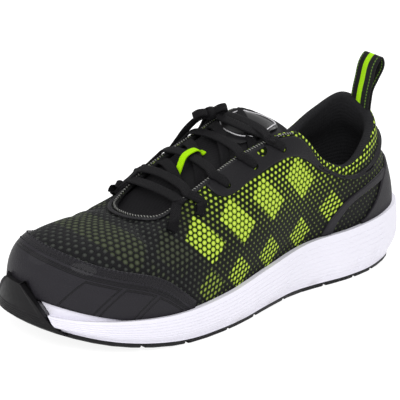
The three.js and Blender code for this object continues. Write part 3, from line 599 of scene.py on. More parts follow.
def flatten_cloth(piece, part):
    """Unrolls the faces of one material as flat cloth in millimetres, turned to the mesh's own lattice."""
    mesh = piece.data
    mesh.uv_layers.new(name="cloth")
    mesh.uv_layers.active = mesh.uv_layers["cloth"]
    bpy.context.view_layer.objects.active = piece
    bpy.ops.object.mode_set(mode="EDIT")
    work = bmesh.from_edit_mesh(mesh)
    place_map = work.loops.layers.uv["place"]
    for face in work.faces:
        face.select = face.material_index == part
        for loop in face.loops:
            a = loop[place_map].uv.x
            b = loop.link_loop_next[place_map].uv.x
            if a == b and (a < 1e-4 or a > 1 - 1e-4):
                loop.edge.seam = True
    bmesh.update_edit_mesh(mesh)
    bpy.ops.uv.unwrap(method="ANGLE_BASED", margin=0.0)
    bpy.ops.object.mode_set(mode="OBJECT")
    flat = np.zeros(len(mesh.loops) * 2)
    mesh.uv_layers["cloth"].data.foreach_get("uv", flat)
    flat = flat.reshape(-1, 2)
    co = np.array([mesh.vertices[l.vertex_index].co for l in mesh.loops]) * 1000
    use = np.zeros(len(mesh.loops), bool)
    uv_area = real_area = 0.0
    for face in mesh.polygons:
        if face.material_index != part:
            continue
        ids = list(face.loop_indices)
        use[ids] = True
        q = flat[ids]
        uv_area += abs(np.sum(q[:, 0] * np.roll(q[:, 1], -1) - q[:, 1] * np.roll(q[:, 0], -1))) / 2
        real_area += face.area * 1e6
    size = math.sqrt(real_area / uv_area)
    near = use & (abs(co[:, 0]) < 50) & (co[:, 1] > 25) & (co[:, 2] > 35) & (co[:, 2] < 75)
    side = np.stack([co[near, 0], co[near, 2]], 1)
    side = side - side.mean(0)
    q = (flat[near] - flat[near].mean(0)) * size
    spin = q.T @ side
    mirror = -1.0 if np.linalg.det(spin) < 0 else 1.0
    q[:, 0] *= mirror
    spin = q.T @ side
    angle = math.atan2(spin[0, 1] - spin[1, 0], spin[0, 0] + spin[1, 1])
    angle -= math.radians(45)
    flat = flat * size * (mirror, 1.0)
    turn = np.array([(math.cos(angle), math.sin(angle)), (-math.sin(angle), math.cos(angle))])
    turned = flat @ turn
    mesh.uv_layers["cloth"].data.foreach_set("uv", turned.ravel())


flatten_cloth(upper, 0)


# Insole
# A soft black sock board with a brushed knit top.
# It is cut a little smaller than the cup and laid in loose.
def insole_face(a, b):
    s = a * STATIONS
    row = np.rint(b * 7).astype(int)
    inset = np.array([20, 10.3, 10.2, 10.2, 11, 12.5, 20, 24])[row]
    lift = np.array([0.45, 0.45, 1.5, 3.0, 4.0, 4.5, 4.5, 4.3])[row]
    return drawn_in(s, inset, lambda x: bed(x) + lift)


bm = laid(160, 7, insole_face, joined=True)
bmesh.ops.holes_fill(bm, edges=bm.edges, sides=0)
insole = finished(bm, "sock_board", lining)
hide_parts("insole")


# Toe cap
# A pressed charcoal film over the inner safety cap, cemented down and sewn on with two rows of stitches.
# A line and slanted panels are embossed along its side.
def table_curve(rows):
    rows = np.array(rows, float)

    def value(s, column=1):
        s = np.asarray(s, float)
        k = np.clip(np.searchsorted(rows[:, 0], s, side="left") - 1, 0, len(rows) - 2)
        first, last = rows[k], rows[k + 1]
        before, after = rows[np.maximum(k - 1, 0)], rows[np.minimum(k + 2, len(rows) - 1)]
        span = last[..., 0] - first[..., 0]
        v = np.clip((s - first[..., 0]) / span, 0, 1)
        leave = (last[..., column] - before[..., column]) / (last[..., 0] - before[..., 0]) * span
        arrive = (after[..., column] - first[..., column]) / (after[..., 0] - first[..., 0]) * span
        w, q = v * v, v**3
        return ((2 * q - 3 * w + 1) * first[..., column] + (q - 2 * w + v) * leave
                + (3 * w - 2 * q) * last[..., column] + (q - w) * arrive)

    return value


UNDER_FOAM = 0.03  # how far the films run down behind the foam, as a share of the upper's height


def above_foam(s):
    return share_at(s, outline(s)[..., 2] + 0.2)


cap_edge = table_curve([
    (6.6, 0.1), (6.9, 0.2), (7.2, 0.29), (7.55, 0.355), (8.15, 0.39), (8.75, 0.4), (9.5, 0.43), (10.2, 0.45),
    (10.9, 0.44), (11.6, 0.41), (12.2, 0.39), (12.6, 0.355), (12.95, 0.29), (13.2, 0.2), (13.45, 0.1),
])


def rounded_lift(far, thick, soft=1.1):
    """How far a film stands off at a distance from its edge, mm, with its edge rounded down."""
    near = np.clip(far / soft, 0, 1)
    return -0.2 + (thick + 0.2) * np.sqrt(1 - (1 - near) ** 2)


def spread(v, count, width, soft=1.1):
    """Draws the outer two rows of a grid close to its edges."""
    k = np.rint(v * count)
    knots = np.concatenate([[0, 0.3 * soft, soft], np.linspace(soft, width - soft, count - 3)[1:-1],
                            [width - soft, width - 0.3 * soft, width]])
    return knots[k.astype(int)] / width, np.minimum(knots, width - knots)[k.astype(int)]


CAP_ENDS = (6.62, 13.43)  # the stations of its two rear ends
CAP_GRID = (300, 34)


def cap_face(a, b):
    share_a, end = spread(a, CAP_GRID[0], 330.0)
    share_b, far = spread(b, CAP_GRID[1], 34.0)
    s = blend(*CAP_ENDS, share_a)
    t = blend(above_foam(s) - UNDER_FOAM, cap_edge(s), share_b)
    edge = np.minimum(end, np.where(b > 0.5, far, 9))
    return off_upper(s, t, rounded_lift(edge, 1.75))


def film_paint(name, cap=False, tone=1.0):
    """Charcoal film with a fine leather grain; the toe cap has a pebbled band and embossed panels."""
    paint = Paint(name)
    grain = paint.node("TexVoronoi", {"feature": "F1"}, {"Vector": paint.object_place(), "Scale": 1300.0})
    fine = paint.noise(2600.0, 2.0)
    cloud = paint.noise(30.0, 3.0)
    height = grain * 0.35 + fine * 0.25
    shades = (0.0095, 0.0085, 0.0115), (0.015, 0.0135, 0.018)
    colour = paint.mix(cloud, *(tuple(c * tone for c in shade) for shade in shades))
    rough = 0.5 + fine * 0.1 + cloud * 0.1
    if cap:
        u, v, _ = paint.axes("film")
        down = 1 - v
        line = 1 - abs(down - 9.0).step(0.25, 0.75)
        line = line.high(1 - abs(down - 7.6).step(0.15, 0.6))
        drawn = [line]
        for middle, half in ((43, 10), (66, 9.5), (87, 8.5), (-43, 10), (-66, 9.5), (-87, 8.5)):
            lean = 0.7 if middle > 0 else -0.7
            across = abs(u - middle + (down - 19.0) * lean) - half
            tall = abs(down - 19.5) - 8.5
            drawn.append(1 - abs(across.high(tall)).step(0.25, 0.8))
        drawn = highest(drawn)
        band = (1 - down.step(5.4, 5.8)) * down.step(1.6, 2.0)
        weave = abs((u * 2.6).wave()) * abs((down * 2.6 + 0.4).wave())
        height = height + (1 - drawn) * 1.5 + band * weave * 0.8
        colour = paint.mix(drawn * 0.75, colour, (0.003, 0.0028, 0.0035))
        colour = paint.mix(band * 0.45, colour, (0.004, 0.0035, 0.0045))
    return paint.done(colour, rough, height, 0.0004, coat=0.05)


def run_along(points):
    """The distance of each point of a line from its start."""
    return np.concatenate([[0], np.cumsum(np.linalg.norm(np.diff(points, axis=0), axis=1))])


# The map "film" gives millimetres along the cap from its middle, and 1 minus those below its upper edge.
bm = laid(*CAP_GRID, cap_face)
film_map = bm.loops.layers.uv.new("film")
place = bm.loops.layers.uv["place"]
corners = [loop for face in bm.faces for loop in face.loops]
spots = np.array([corner[place].uv for corner in corners])
s = blend(*CAP_ENDS, spots[:, 0])
t = blend(above_foam(s) - UNDER_FOAM, cap_edge(s), spread(spots[:, 1], CAP_GRID[1], 34.0)[0])
gaps = np.linalg.norm(upper_at(s, cap_edge(s)) - upper_at(s, t), axis=1)
knots = np.linspace(0, 1, 301)
run = run_along(upper_at(blend(*CAP_ENDS, knots), 0.3))
steps = np.interp(spots[:, 0], knots, run - np.interp(0.5, knots, run))
for corner, step, gap in zip(corners, steps, gaps):
    corner[film_map].uv = (step, 1 - gap)
toe_cap = finished(bm, "toe_cap_film", film_paint("charcoal_cap_film", True))
thickened(toe_cap, 1.2)
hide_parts("toe_cap")

film = film_paint("charcoal_film")


def stitch_paint():
    paint = Paint("black_thread")
    x, y, z = paint.axes()
    twist = ((x + y + z) * 9000.0).wave() * 0.5 + 0.5
    colour = paint.mix(twist, (0.004, 0.004, 0.005), (0.018, 0.017, 0.02))
    return paint.done(colour, 0.6, twist, 0.0001)


thread = stitch_paint()


def sew(name, line, normals, pitch, long, wide):
    """A row of stitches along a line on a surface: each is a small bead drawn out along the seam."""
    run = run_along(line)
    bm = bmesh.new()
    for at in np.arange(pitch / 2, run[-1], pitch):
        spot, ahead, up = (Vector([np.interp(at + d, run, q[:, k]) for k in range(3)])
                           for d, q in ((0, line), (0.4, line), (0, normals)))
        ahead = (ahead - spot).normalized()
        up = (up - up.dot(ahead) * ahead).normalized()
        turn = Matrix((ahead, up.cross(ahead), up)).transposed().to_4x4()
        shape = Matrix.Diagonal((long / 2, wide / 2, wide / 2, 1))
        place = Matrix.Translation(spot) @ turn @ shape
        bmesh.ops.create_icosphere(bm, subdivisions=1, radius=1, matrix=place)
    return finished(bm, name, thread)


s = np.linspace(6.9, 13.15, 200)
for k, below in enumerate((1.0, 6.6)):
    t = cap_edge(s) - below / 78
    sew(f"toe_cap_stitches_{k + 1}", off_upper(s, t, 1.7), normal_at(s, t), 2.6, 1.7, 1.0)


# Heel counter
# Charcoal film wrapped round the heel from the foam to above the ankle bone, with an arm on each side
# that runs forward and down to the foam; fused to the mesh.
counter_edge = table_curve([
    (0, 0.63), (0.8, 0.63), (1.3, 0.61), (1.7, 0.54), (1.95, 0.45), (2.25, 0.33), (2.5, 0.24), (2.7, 0.17),
])


def counter_face(a, b):
    share_a, _ = spread(a, 150, 190.0)
    share_b, far = spread(b, 26, 40.0)
    s = blend(-2.7, 2.7, share_a)
    low = above_foam(s) - UNDER_FOAM
    high = np.maximum(counter_edge(abs(s)), low + 0.06)
    return off_upper(s, blend(low, high, share_b), rounded_lift(np.where(b > 0.5, far, 9), 1.6))


STATION_LONG, SHARE_TALL = 30, 68  # about how many mm one station is, and the whole height of the upper
ARM_WIDE = 6.6
arm_route = np.array([
    (1.45, 0.57), (1.9, 0.585), (2.35, 0.6), (2.75, 0.585), (3.1, 0.52), (3.3, 0.42), (3.45, 0.3),
    (3.56, 0.12),
])


def through(points, count):
    """Evenly spaced points on a smooth curve through the given ones."""
    points = np.array(points, float)
    ends = np.concatenate([[2 * points[0] - points[1]], points, [2 * points[-1] - points[-2]]])
    w = np.linspace(0, 1, 21)[:-1, None]
    fine = [curve(*ends[k:k + 4], w) for k in range(len(points) - 1)]
    fine = np.concatenate([*fine, points[-1:]])
    run = run_along(fine)
    even = np.linspace(0, run[-1], count)
    return np.stack([np.interp(even, run, fine[:, k]) for k in range(fine.shape[1])], 1)


def arm_face(side):
    def face(a, b):
        path = through(arm_route * (STATION_LONG, SHARE_TALL), 241)
        run = unit(np.gradient(path, axis=0))
        k = np.rint(a * 240).astype(int)
        share_b, far = spread(b, 12, ARM_WIDE)
        q = path[k] + np.stack([-run[k, 1], run[k, 0]], 1) * (ARM_WIDE * (0.5 - share_b))[:, None]
        s = q[:, 0] / STATION_LONG
        t = np.maximum(q[:, 1] / SHARE_TALL, above_foam(s) - UNDER_FOAM)
        return off_upper(s if side > 0 else -s, t, rounded_lift(far, 1.35, 0.9))
    return face


counter = finished(laid(150, 26, counter_face), "heel_counter_film", film)
arms = [finished(laid(80, 12, arm_face(side)), f"heel_arm_film_{name}", film)
        for side, name in ((1, "outer"), (-1, "inner"))]
for piece in (counter, *arms):
    thickened(piece, 1.1)
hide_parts("heel_counter")


# Eyestays
# Charcoal film along each side of the throat, in one piece with the narrow strip under the collar.
# Three eyelets and one window are punched through it, and the lime mesh shows in them.
stay_edges = table_curve([
    (0.62, 0.83, 0.9), (1.2, 0.805, 0.88), (1.65, 0.775, 0.85), (2.2, 0.765, 0.84), (3.1, 0.855, 0.92),
    (3.75, 0.9, 0.955), (4.2, 0.875, 0.955), (4.6, 0.845, 0.965), (4.9, 0.825, 0.975), (5.3, 0.8, 0.975),
    (5.6, 0.775, 0.975), (5.9, 0.75, 0.975), (6.15, 0.725, 0.975), (6.4, 0.755, 0.975), (6.6, 0.83, 0.975),
    (6.78, 0.94, 0.975),
])
# station, share on the outer side, share on the inner side, and whether it is a webbing loop
eyelets = [
    (5.24, 0.885, 0.885, False), (5.78, 0.845, 0.85, False), (6.33, 0.82, 0.83, False),
    (6.88, 0.8, 0.84, True), (7.5, 0.79, 0.86, True),
]
window = (5.66, 0.935)


def on_side(s, side):
    return s if side > 0 else STATIONS - s


stay_film = film_paint("dark_charcoal_film", tone=0.45)


def stay_face(side):
    def face(a, b):
        share_a, end = spread(a, 300, 240.0)
        s = blend(0.62, 6.78, share_a)
        low, high = stay_edges(s, 1), stay_edges(s, 2)
        wide = np.maximum((high - low) * SHARE_TALL, 2.2)
        knots = np.array([0, 0.12, 0.4, 1.0, 2.0, 3.0])
        k = np.rint(b * 16).astype(int)
        soft = np.minimum(knots[np.minimum(np.minimum(k, 16 - k), 5)], wide / 2 - 0.05)
        middle = 3.0 + (np.clip(k, 5, 11) - 5) / 6 * np.maximum(wide - 6, 0)
        inner = np.minimum(middle, wide - 0.1)
        far = np.where(k <= 5, soft, np.where(k >= 11, wide - soft, inner))
        share_b = np.clip(far / wide, 0, 1)
        edge = np.minimum(np.minimum(far, wide - far), end)
        return off_upper(on_side(s, side), blend(low, high, share_b), rounded_lift(edge, 1.45, 1.0))
    return face


def punch(s, t, radius):
    """A round punch through the film, square to it."""
    axis, spot = Vector(facing_at(s, t)), Vector(spot_on(s, t, 0))
    turn = axis.to_track_quat("Z", "Y").to_matrix().to_4x4()
    bmesh.ops.create_cone(punches, cap_ends=True, segments=28, radius1=radius, radius2=radius, depth=9,
                          matrix=Matrix.Translation(spot) @ turn)


for side, name, shares in ((1, "lateral", 1), (-1, "medial", 2)):
    bm = laid(300, 16, stay_face(side))
    stay = finished(bm, f"eyestay_film_{name}", stay_film)
    thickened(stay, 1.1)
    punches = bmesh.new()
    for eye in eyelets[:3]:
        punch(on_side(eye[0], side), eye[shares], 2.3)
    punch(on_side(window[0], side), window[1], 3.5)
    cut(stay, finished(punches, "punches", stay_film))
    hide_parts(f"eyestay_{name}")


# Piping
# A twisted cord of silver and black thread, sewn along the edge of the throat.
# A black binding covers its stitched flange.
def ring_along(route, normals, size, sides, power):
    """A closed band or cord along a route; size is its breadth and thickness in mm, or gives them.

    Its section is round at a power of 1, and squarer the lower the power is.
    """
    route, normals = np.asarray(route, float), unit(np.asarray(normals, float))
    run = unit(np.gradient(route, axis=0))
    across = unit(np.cross(run, normals))
    up = np.cross(across, run)
    count = len(route) - 1
    lengths = run_along(route)

    def section(turn, a):
        breadth_thickness = size(a) if callable(size) else size
        return [of / 2 * np.sign(v) * abs(v) ** power
                for of, v in zip(breadth_thickness, (np.cos(turn), np.sin(turn)))]

    def face(a, b):
        k = np.rint(a * count).astype(int)
        sideways, upwards = section(b * 2 * math.pi, a)
        return route[k] + across[k] * sideways[:, None] + up[k] * upwards[:, None]

    bm = laid(count, sides, face)
    place_map = bm.loops.layers.uv["place"]
    band_map = bm.loops.layers.uv.new("band")
    turn = np.linspace(0, 2 * math.pi, sides * 8 + 1)
    girth = run_along(np.stack(section(turn, np.array([0.5])), 1))
    for face_ in bm.faces:
        for loop in face_.loops:
            a, b = loop[place_map].uv
            along = np.interp(a * count, np.arange(count + 1), lengths)
            loop[band_map].uv = (along, np.interp(b * 2 * math.pi, turn, girth))
    bmesh.ops.remove_doubles(bm, verts=bm.verts, dist=0.002)
    bmesh.ops.holes_fill(bm, edges=bm.edges, sides=0)
    return bm


def piping_paint():
    paint = Paint("silver_and_black_cord")
    u, v, _ = paint.axes("band")
    twist = (u * 0.55 + v * 0.3).zigzag()
    silver = 1 - twist.step(0.12, 0.2)
    colour = paint.mix(silver, (0.006, 0.006, 0.007), (0.26, 0.26, 0.24))
    return paint.done(colour, 0.45, silver * 0.5 + twist, 0.0004)


s = np.linspace(5.05, 14.95, 400)
finished(ring_along(off_upper(s, 0.992, 0.7), normal_at(s, 0.99), (1.4, 1.4), 10, 1.0),
         "throat_piping", piping_paint())
s = np.linspace(5.6, 14.4, 380)
finished(ring_along(off_upper(s, 0.968, 0.75), normal_at(s, 0.96), (2.4, 1.2), 10, 0.8),
         "throat_binding", thread)


# Tongue
# Padded black cloth under the throat, rising above the collar.
# A smooth film label is fused to its upper part.
def own_copy(node, name, paint):
    """A smooth copy of a solid's mesh: its loose triangles are merged, paired into quads and subdivided."""
    bm = bmesh.new()
    bm.from_mesh(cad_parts[node].data)
    bmesh.ops.remove_doubles(bm, verts=bm.verts, dist=0.00001)
    bmesh.ops.join_triangles(bm, faces=bm.faces, angle_face_threshold=0.6, angle_shape_threshold=3.1)
    piece = riding(bm, name, [paint])
    soft = piece.modifiers.new("soft", "SUBSURF")
    soft.levels = 2
    soft.render_levels = 2
    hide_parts(node)
    return piece


def tongue_paint():
    paint = Paint("black_tongue_cloth")
    x, y, z = paint.axes()
    rib = ((x * 0.8 + z * 0.6) * 2600.0).wave() * (y * 2600.0).wave() * 0.5 + 0.5
    cloud = paint.noise(60.0, 3.0)
    colour = paint.mix(cloud, (0.004, 0.0038, 0.0045), (0.009, 0.0085, 0.010))
    return paint.done(colour, 0.66, rib * 0.6 + cloud * 0.4, 0.0002, specular=0.15)


own_copy("tongue", "tongue_pad", tongue_paint())


def label_paint():
    paint = Paint("smooth_label_film")
    cloud = paint.noise(90.0, 2.0)
    colour = paint.mix(cloud, (0.004, 0.0038, 0.0045), (0.008, 0.0075, 0.009))
    return paint.done(colour, 0.32 + cloud * 0.1, cloud, 0.0001, coat=0.1)


own_copy("tongue_patch", "tongue_label", label_paint())


# Label edging
# Two thin silver cords, one round the label's upper edge and one across its foot.
# They are glued to the film, and the label itself is bare.
def resting(points, node, lift):
    """Lets points down onto a node from above, in millimetres before the frame's shift."""
    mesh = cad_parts[node].data
    tree = BVHTree.FromPolygons([v.co for v in mesh.vertices], [p.vertices for p in mesh.polygons])
    placed = []
    for x, y in points:
        above = Vector(((x + to_frame[0]) / 1000, (y + to_frame[1]) / 1000, 0.3))
        hit = tree.ray_cast(above, Vector((0, 0, -1)))
        if hit[0] is not None:
            placed.append((x, y, hit[0].z * 1000 - to_frame[2] + lift))
    return np.array(placed)


def silver_paint():
    paint = Paint("silver_cord")
    fine = paint.noise(900.0, 2.0)
    return paint.done((0.55, 0.54, 0.56), 0.35 + fine * 0.2, fine, 0.0001, metal=0.4)


silver = silver_paint()
edge_arc = through([(-22, -16.5), (-32, -13.5), (-36, -6), (-36.8, 2), (-35, 10), (-29, 14.5), (-22, 16)], 60)
foot_arc = through([(-12, -14.5), (-7.5, -8), (-6.3, 0), (-7.5, 8), (-12, 14.5)], 50)
for name, arc in (("upper", edge_arc), ("lower", foot_arc)):
    points = resting(arc, "tongue_patch", 0.25)
    finished(ring_along(points, (0.0, 0.0, 1.0), (0.9, 0.9), 8, 1.0), f"label_cord_{name}", silver)


# Pull loop
# A folded band of black webbing with a lime stripe woven down its middle.
# Its two ends are sewn into the heel of the collar.
def pull_paint():
    paint = Paint("black_webbing_lime_stripe")
    u, v, _ = paint.axes("band")
    off = abs(abs(v - 16.8) - 8.4)
    stripe = 1 - off.step(1.7, 2.1)
    rib = (u * 0.95 + off * 0.9).zigzag() * 2
    black = paint.mix(rib, (0.002, 0.002, 0.0023), (0.009, 0.0085, 0.010))
    lime = paint.mix(rib, (0.28, 0.60, 0.0), (0.5, 0.95, 0.0))
    tracer = (1 - abs(off - 6.0).step(0.25, 0.5)) * (u * 0.5).rest().step(0.3, 0.4)
    colour = paint.mix(tracer * 0.5, paint.mix(stripe, black, lime), (0.25, 0.5, 0.05))
    return paint.done(colour, 0.7, rib, 0.0004)


base = around(3, 6, np.array([0.0]))[0] + (COLLAR_THICK * 0.44, 0, COLLAR_THICK * 0.35)
pull_rows = [(-0.2, 0, 0.3), (0.03, 0, 0.3), (0.28, 0.08, 0.3), (0.49, 0.38, 0.58), (0.735, 0.75, 1.0),
             (0.89, 0.9, 0.78)]


def pull_point(row, side):
    return base + (-row[1] * 7 + side * row[2] * 3.8, 0, row[0] * 29.5)


raw = [pull_point(row, 1) for row in pull_rows] + [pull_point((1, 0.98, 0), 0)]
raw += [pull_point(row, -1) for row in reversed(pull_rows)]
route = through(raw, 90)
up = np.cross(unit(np.gradient(route, axis=0)), (0.0, 1.0, 0.0))
band = ring_along(route, up, (15.3, 1.5), 36, 0.28)
pull_loop = finished(band, "pull_loop_band", pull_paint(), 50)
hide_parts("pull_loop")


# Webbing loops
# Short loops of black woven tape, sewn to the mesh below the eyestays.
# The bar and the lowest crossing of the lace run in them.
def tape_paint(name, dark, light):
    paint = Paint(name)
    u, v, _ = paint.axes("band")
    weave = (u * 1.6).zigzag() + (v * 1.6).zigzag()
    fuzz = paint.noise(1500.0, 2.0)
    colour = paint.mix(weave * 0.7 + fuzz * 0.3, dark, light)
    return paint.done(colour, 0.8, weave * 0.8 + fuzz * 0.2, 0.0003, specular=0.12)


black_tape = tape_paint("black_woven_tape", (0.0018, 0.0018, 0.002), (0.008, 0.0075, 0.009))


def tape_loop(s, share):
    side_view = ((-0.075, 0.9), (-0.055, 1.2), (-0.025, 1.3), (-0.002, 1.6), (0.012, 2.5), (0.012, 3.4),
                 (-0.002, 4.3), (-0.022, 4.5), (-0.042, 3.7), (-0.06, 2.5), (-0.072, 1.9))
    points = [spot_on(s, share + t, lift) for t, lift in side_view]
    route = through(points, 40)
    along = spot_on(s + 0.05, 0.8, 0) - spot_on(s - 0.05, 0.8, 0)
    up = np.cross(unit(np.gradient(route, axis=0)), along)
    return ring_along(route, up, (6.5, 1.0), 12, 0.35)


for k, eye in enumerate(eyelets[3:]):
    for name, s, share in (("lateral", eye[0], eye[1]), ("medial", STATIONS - eye[0], eye[2] + 0.03)):
        loop = finished(tape_loop(s, share), f"tape_loop_{name}_{k + 1}", black_tape, 50)
        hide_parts(f"webbing_{name}_{k + 1}")


# Laces
# One flat braid of black polyester, 6.4 mm wide: a bar at the lowest loops, then crossings up to the ankle.
# One set of crossings lies on the films and goes down into the eyelets; the other runs in under their edges.
def braid_paint():
    paint = Paint("black_flat_braid")
    u, v, _ = paint.axes("band")
    plait = (u * 0.75 + v * 0.75).zigzag().high((u * 0.75 - v * 0.75).zigzag()) * 2
    fuzz = paint.noise(1600.0, 2.0)
    colour = paint.mix(plait * 0.75 + fuzz * 0.25, (0.0018, 0.0018, 0.002), (0.009, 0.0085, 0.010))
    return paint.done(colour, 0.72, plait * 0.8 + fuzz * 0.2, 0.00045, specular=0.12)


braid = braid_paint()
LACE = (6.4, 1.7)  # breadth and thickness, mm
OVER_FILM, UNDER_FILM = 2.8, -2.9  # how far off the upper a strand's middle runs, mm
STRAND_POINTS = 110
lace_eyes = [(s, outer + 0.03 * looped, inner + 0.03 * looped, looped) for s, outer, inner, looped in eyelets]


def braided(name, route, up, size=LACE, squareness=0.55):
    return finished(ring_along(route, up, size, 14, squareness), name, braid)


def into_eye(eye, share, rim, looped):
    """The end of a strand: from the edge of the throat down into its eyelet, or into its webbing loop."""
    if looped:
        steps = ((0.75, 2.7), (0.4, 2.6), (0.1, 2.5), (-0.1, 2.4))
    else:
        steps = ((0.75, 2.6), (0.4, 2.5), (0.1, 2.2), (0.01, 0.9), (0.02, -0.5))
    return [spot_on(blend(eye, rim, f), blend(share, 1, f), lift) for f, lift in steps]


def crossing(low, high, over):
    """A crossing from one side's eyelet to the next one on the other side, above both films or under them."""
    side = -1 if over else 1
    here, there = on_side(low[0], side), on_side(high[0], -side)
    lift = OVER_FILM if over else UNDER_FILM
    middle = blend(high[0], low[0], 0.6)
    rims = (on_side(middle, side), on_side(middle, -side)) if over else (here, there)
    first, last = (spot_on(rim, 1.0, lift) for rim in rims)
    slope = unit(first - spot_on(rims[0], 0.96, lift)), unit(last - spot_on(rims[1], 0.96, lift))
    span = np.linalg.norm(last - first)
    reach = 0.15
    start, finish = first + slope[0] * span * reach, last + slope[1] * span * reach
    w = np.linspace(0, 1, 9)[:, None]
    bridge = bow(first, start, finish, last, w)
    if not over:
        rise = 0.4 if high is lace_eyes[0] else 3.4  # the highest one lies flat below the knot
        bridge = bridge + unit(slope[0] + slope[1] + (0.2, 0, 0.6)) * (rise * np.sin(w * math.pi))
    shares = [eye[1] if at > 0 else eye[2] for eye, at in ((low, side), (high, -side))]
    if over:
        head = into_eye(here, shares[0], rims[0], low[3])[::-1]
        tail = into_eye(there, shares[1], rims[1], high[3])
    else:
        head = [spot_on(here, 0.93, lift), spot_on(here, 0.965, lift)]
        tail = [spot_on(there, 0.965, lift), spot_on(there, 0.93, lift)]
    route = through([*head, *bridge, *tail], STRAND_POINTS)
    n_here, n_there = facing_at(here, 0.97), facing_at(there, 0.97)
    crown = unit(n_here + n_there + np.array([0.2, 0, 0.8]))
    along = np.linspace(0, 1, STRAND_POINTS)
    up = blend(n_here, crown, ease(0.12, 0.42, along)[:, None])
    return route, unit(blend(up, n_there, ease(0.58, 0.88, along)[:, None]))


def lace_size(first_looped, last_looped):
    def size(a):
        near, far = ease(0, 0.09, a), ease(0, 0.09, 1 - a)
        broad = LACE[0] - 0.4 * np.sin(a * 9) ** 2
        broad = blend(5.4 if first_looped else 3.3, broad, near)
        broad = blend(5.4 if last_looped else 3.3, broad, far)
        return broad, blend(2.2, LACE[1], np.minimum(near, far))
    return size


first_strand = None
for k in range(4):
    upper_eye, lower_eye = lace_eyes[k], lace_eyes[k + 1]
    for over, name in ((True, "over"), (False, "under")):
        route, up = crossing(lower_eye, upper_eye, over)
        size = lace_size(lower_eye[3], upper_eye[3]) if over else LACE
        strand = braided(f"lace_{name}_{k + 1}", route, up, size)
        first_strand = first_strand or strand
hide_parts("laces")

s, outer, inner, looped = lace_eyes[4]
bar = [spot_on(s, t, lift) for t, lift in ((outer - 0.05, 2.5), (outer, 2.7), (0.94, 3.0), (1.0, 3.2))]
bar_back = [spot_on(STATIONS - s, t, lift)
            for t, lift in ((1.0, 2.2), (0.94, 1.8), (inner, 1.6), (inner - 0.05, 1.2))]
middle = (bar[-1] + bar_back[0]) / 2 + (1.2, 0, 2.0)
route = through([*bar, middle, *bar_back], STRAND_POINTS)
w = ease(0.15, 0.85, np.linspace(0, 1, STRAND_POINTS))[:, None]
up = blend(facing_at(s, 0.95), facing_at(STATIONS - s, 0.95), w) + (0.1, 0, 0.5)
braided("lace_bar", route, unit(up))

for side, name in ((1, "outer"), (-1, "inner")):
    eye = lace_eyes[0]
    s = on_side(eye[0], side)
    share = eye[1] if side > 0 else eye[2]
    rim = s + side * 0.28
    points = [*into_eye(s, share, rim, False)[::-1], spot_on(rim, 1.0, 2.8)]
    if side > 0:
        points += [np.array(p) for p in ((-10.5, 9, 108.2), (-7.5, -3, 109.8), (-5, -10.5, 110.8))]
    else:
        points += [np.array(p) for p in ((-15, -18.5, 111.2), (-8.5, -17, 111.6))]
    route = through(points, 80)
    w = ease(0, 0.45, np.linspace(0, 1, 80))[:, None]
    up = blend(facing_at(s, share), unit(np.array([0.3, 0, 1.0])), w)
    braided(f"lace_to_knot_{name}", route, up, lace_size(False, False))


# Keeper
# A strap of lime tape, sewn along the middle of the tongue at both ends.
# The lace passes under it, so that the tongue can't slip to one side.
lime_tape = tape_paint("lime_woven_tape", (0.24, 0.52, 0.0), (0.46, 0.86, 0.0))
low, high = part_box("lace_keeper")
middle_y = (low.y + high.y) * 500 - to_frame[1]
ends_x = [v * 1000 - to_frame[0] for v in (low.x, high.x)]
under = resting([(blend(ends_x[1], ends_x[0], w), middle_y) for w in (0.06, 0.16, 0.84, 0.94)], "tongue", 0.7)
crown = np.array([(ends_x[0] + ends_x[1]) / 2, middle_y, high.z * 1000 - to_frame[2] - 1.6])
shoulder = np.array([5.2, 0, -1.9])
arch = [crown + shoulder, crown + (0.4, 0, 0.9), crown - shoulder * (1, 1, 0.75)]
route = through([*under[:2], *arch, *under[2:4]], 60)
strap = ring_along(route, (0.45, 0, 1.0), (4.6, 1.1), 14, 0.35)
keeper = finished(strap, "lace_keeper_strap", lime_tape, 50)
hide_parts("lace_keeper")


# Bow
# The lace's two loose ends hang down the inner side from the knot and end in hard tips.
# The bow's two loops are pulled short.
ends = {
    "lace_end_front": [(-1.1, -18.7, 109.2), (2.6, -22.2, 105), (5.6, -25.8, 98.8), (8.4, -28, 92.6),
                       (12, -29.6, 86.4), (17, -31.2, 79), (22, -33.4, 72)],
    "lace_end_back": [(-4.8, -21.6, 109.6), (-8.6, -23.6, 108.6), (-12.2, -26.2, 105.8), (-13.2, -28.2, 101),
                      (-11.6, -29.6, 95.4), (-8, -31, 88.4), (-3.6, -32.6, 80.4), (1, -34.4, 73)],
}
tip_paint = Paint("clear_black_tip")
tip_shine = tip_paint.noise(500.0, 2.0)
lace_tip = tip_paint.done((0.005, 0.005, 0.006), 0.2 + tip_shine * 0.1, tip_shine, 0.00005, coat=0.5)


def wound(centre, radii, axis, name):
    axis = unit(np.array(axis, float))
    side = unit(np.cross(axis, (0, 0, 1.0)))
    up = np.cross(side, axis)
    turn = np.linspace(0, 2 * math.pi * 1.08, 60)
    shift = np.linspace(-1.2, 1.2, 60)
    route = knot_at + np.array(centre) + side * (radii[0] * np.cos(turn))[:, None]
    route = route + up * (radii[1] * np.sin(turn))[:, None] + axis * shift[:, None]
    out = side * np.cos(turn)[:, None] + up * np.sin(turn)[:, None]
    return braided(name, route, out, (5.2, 1.7))


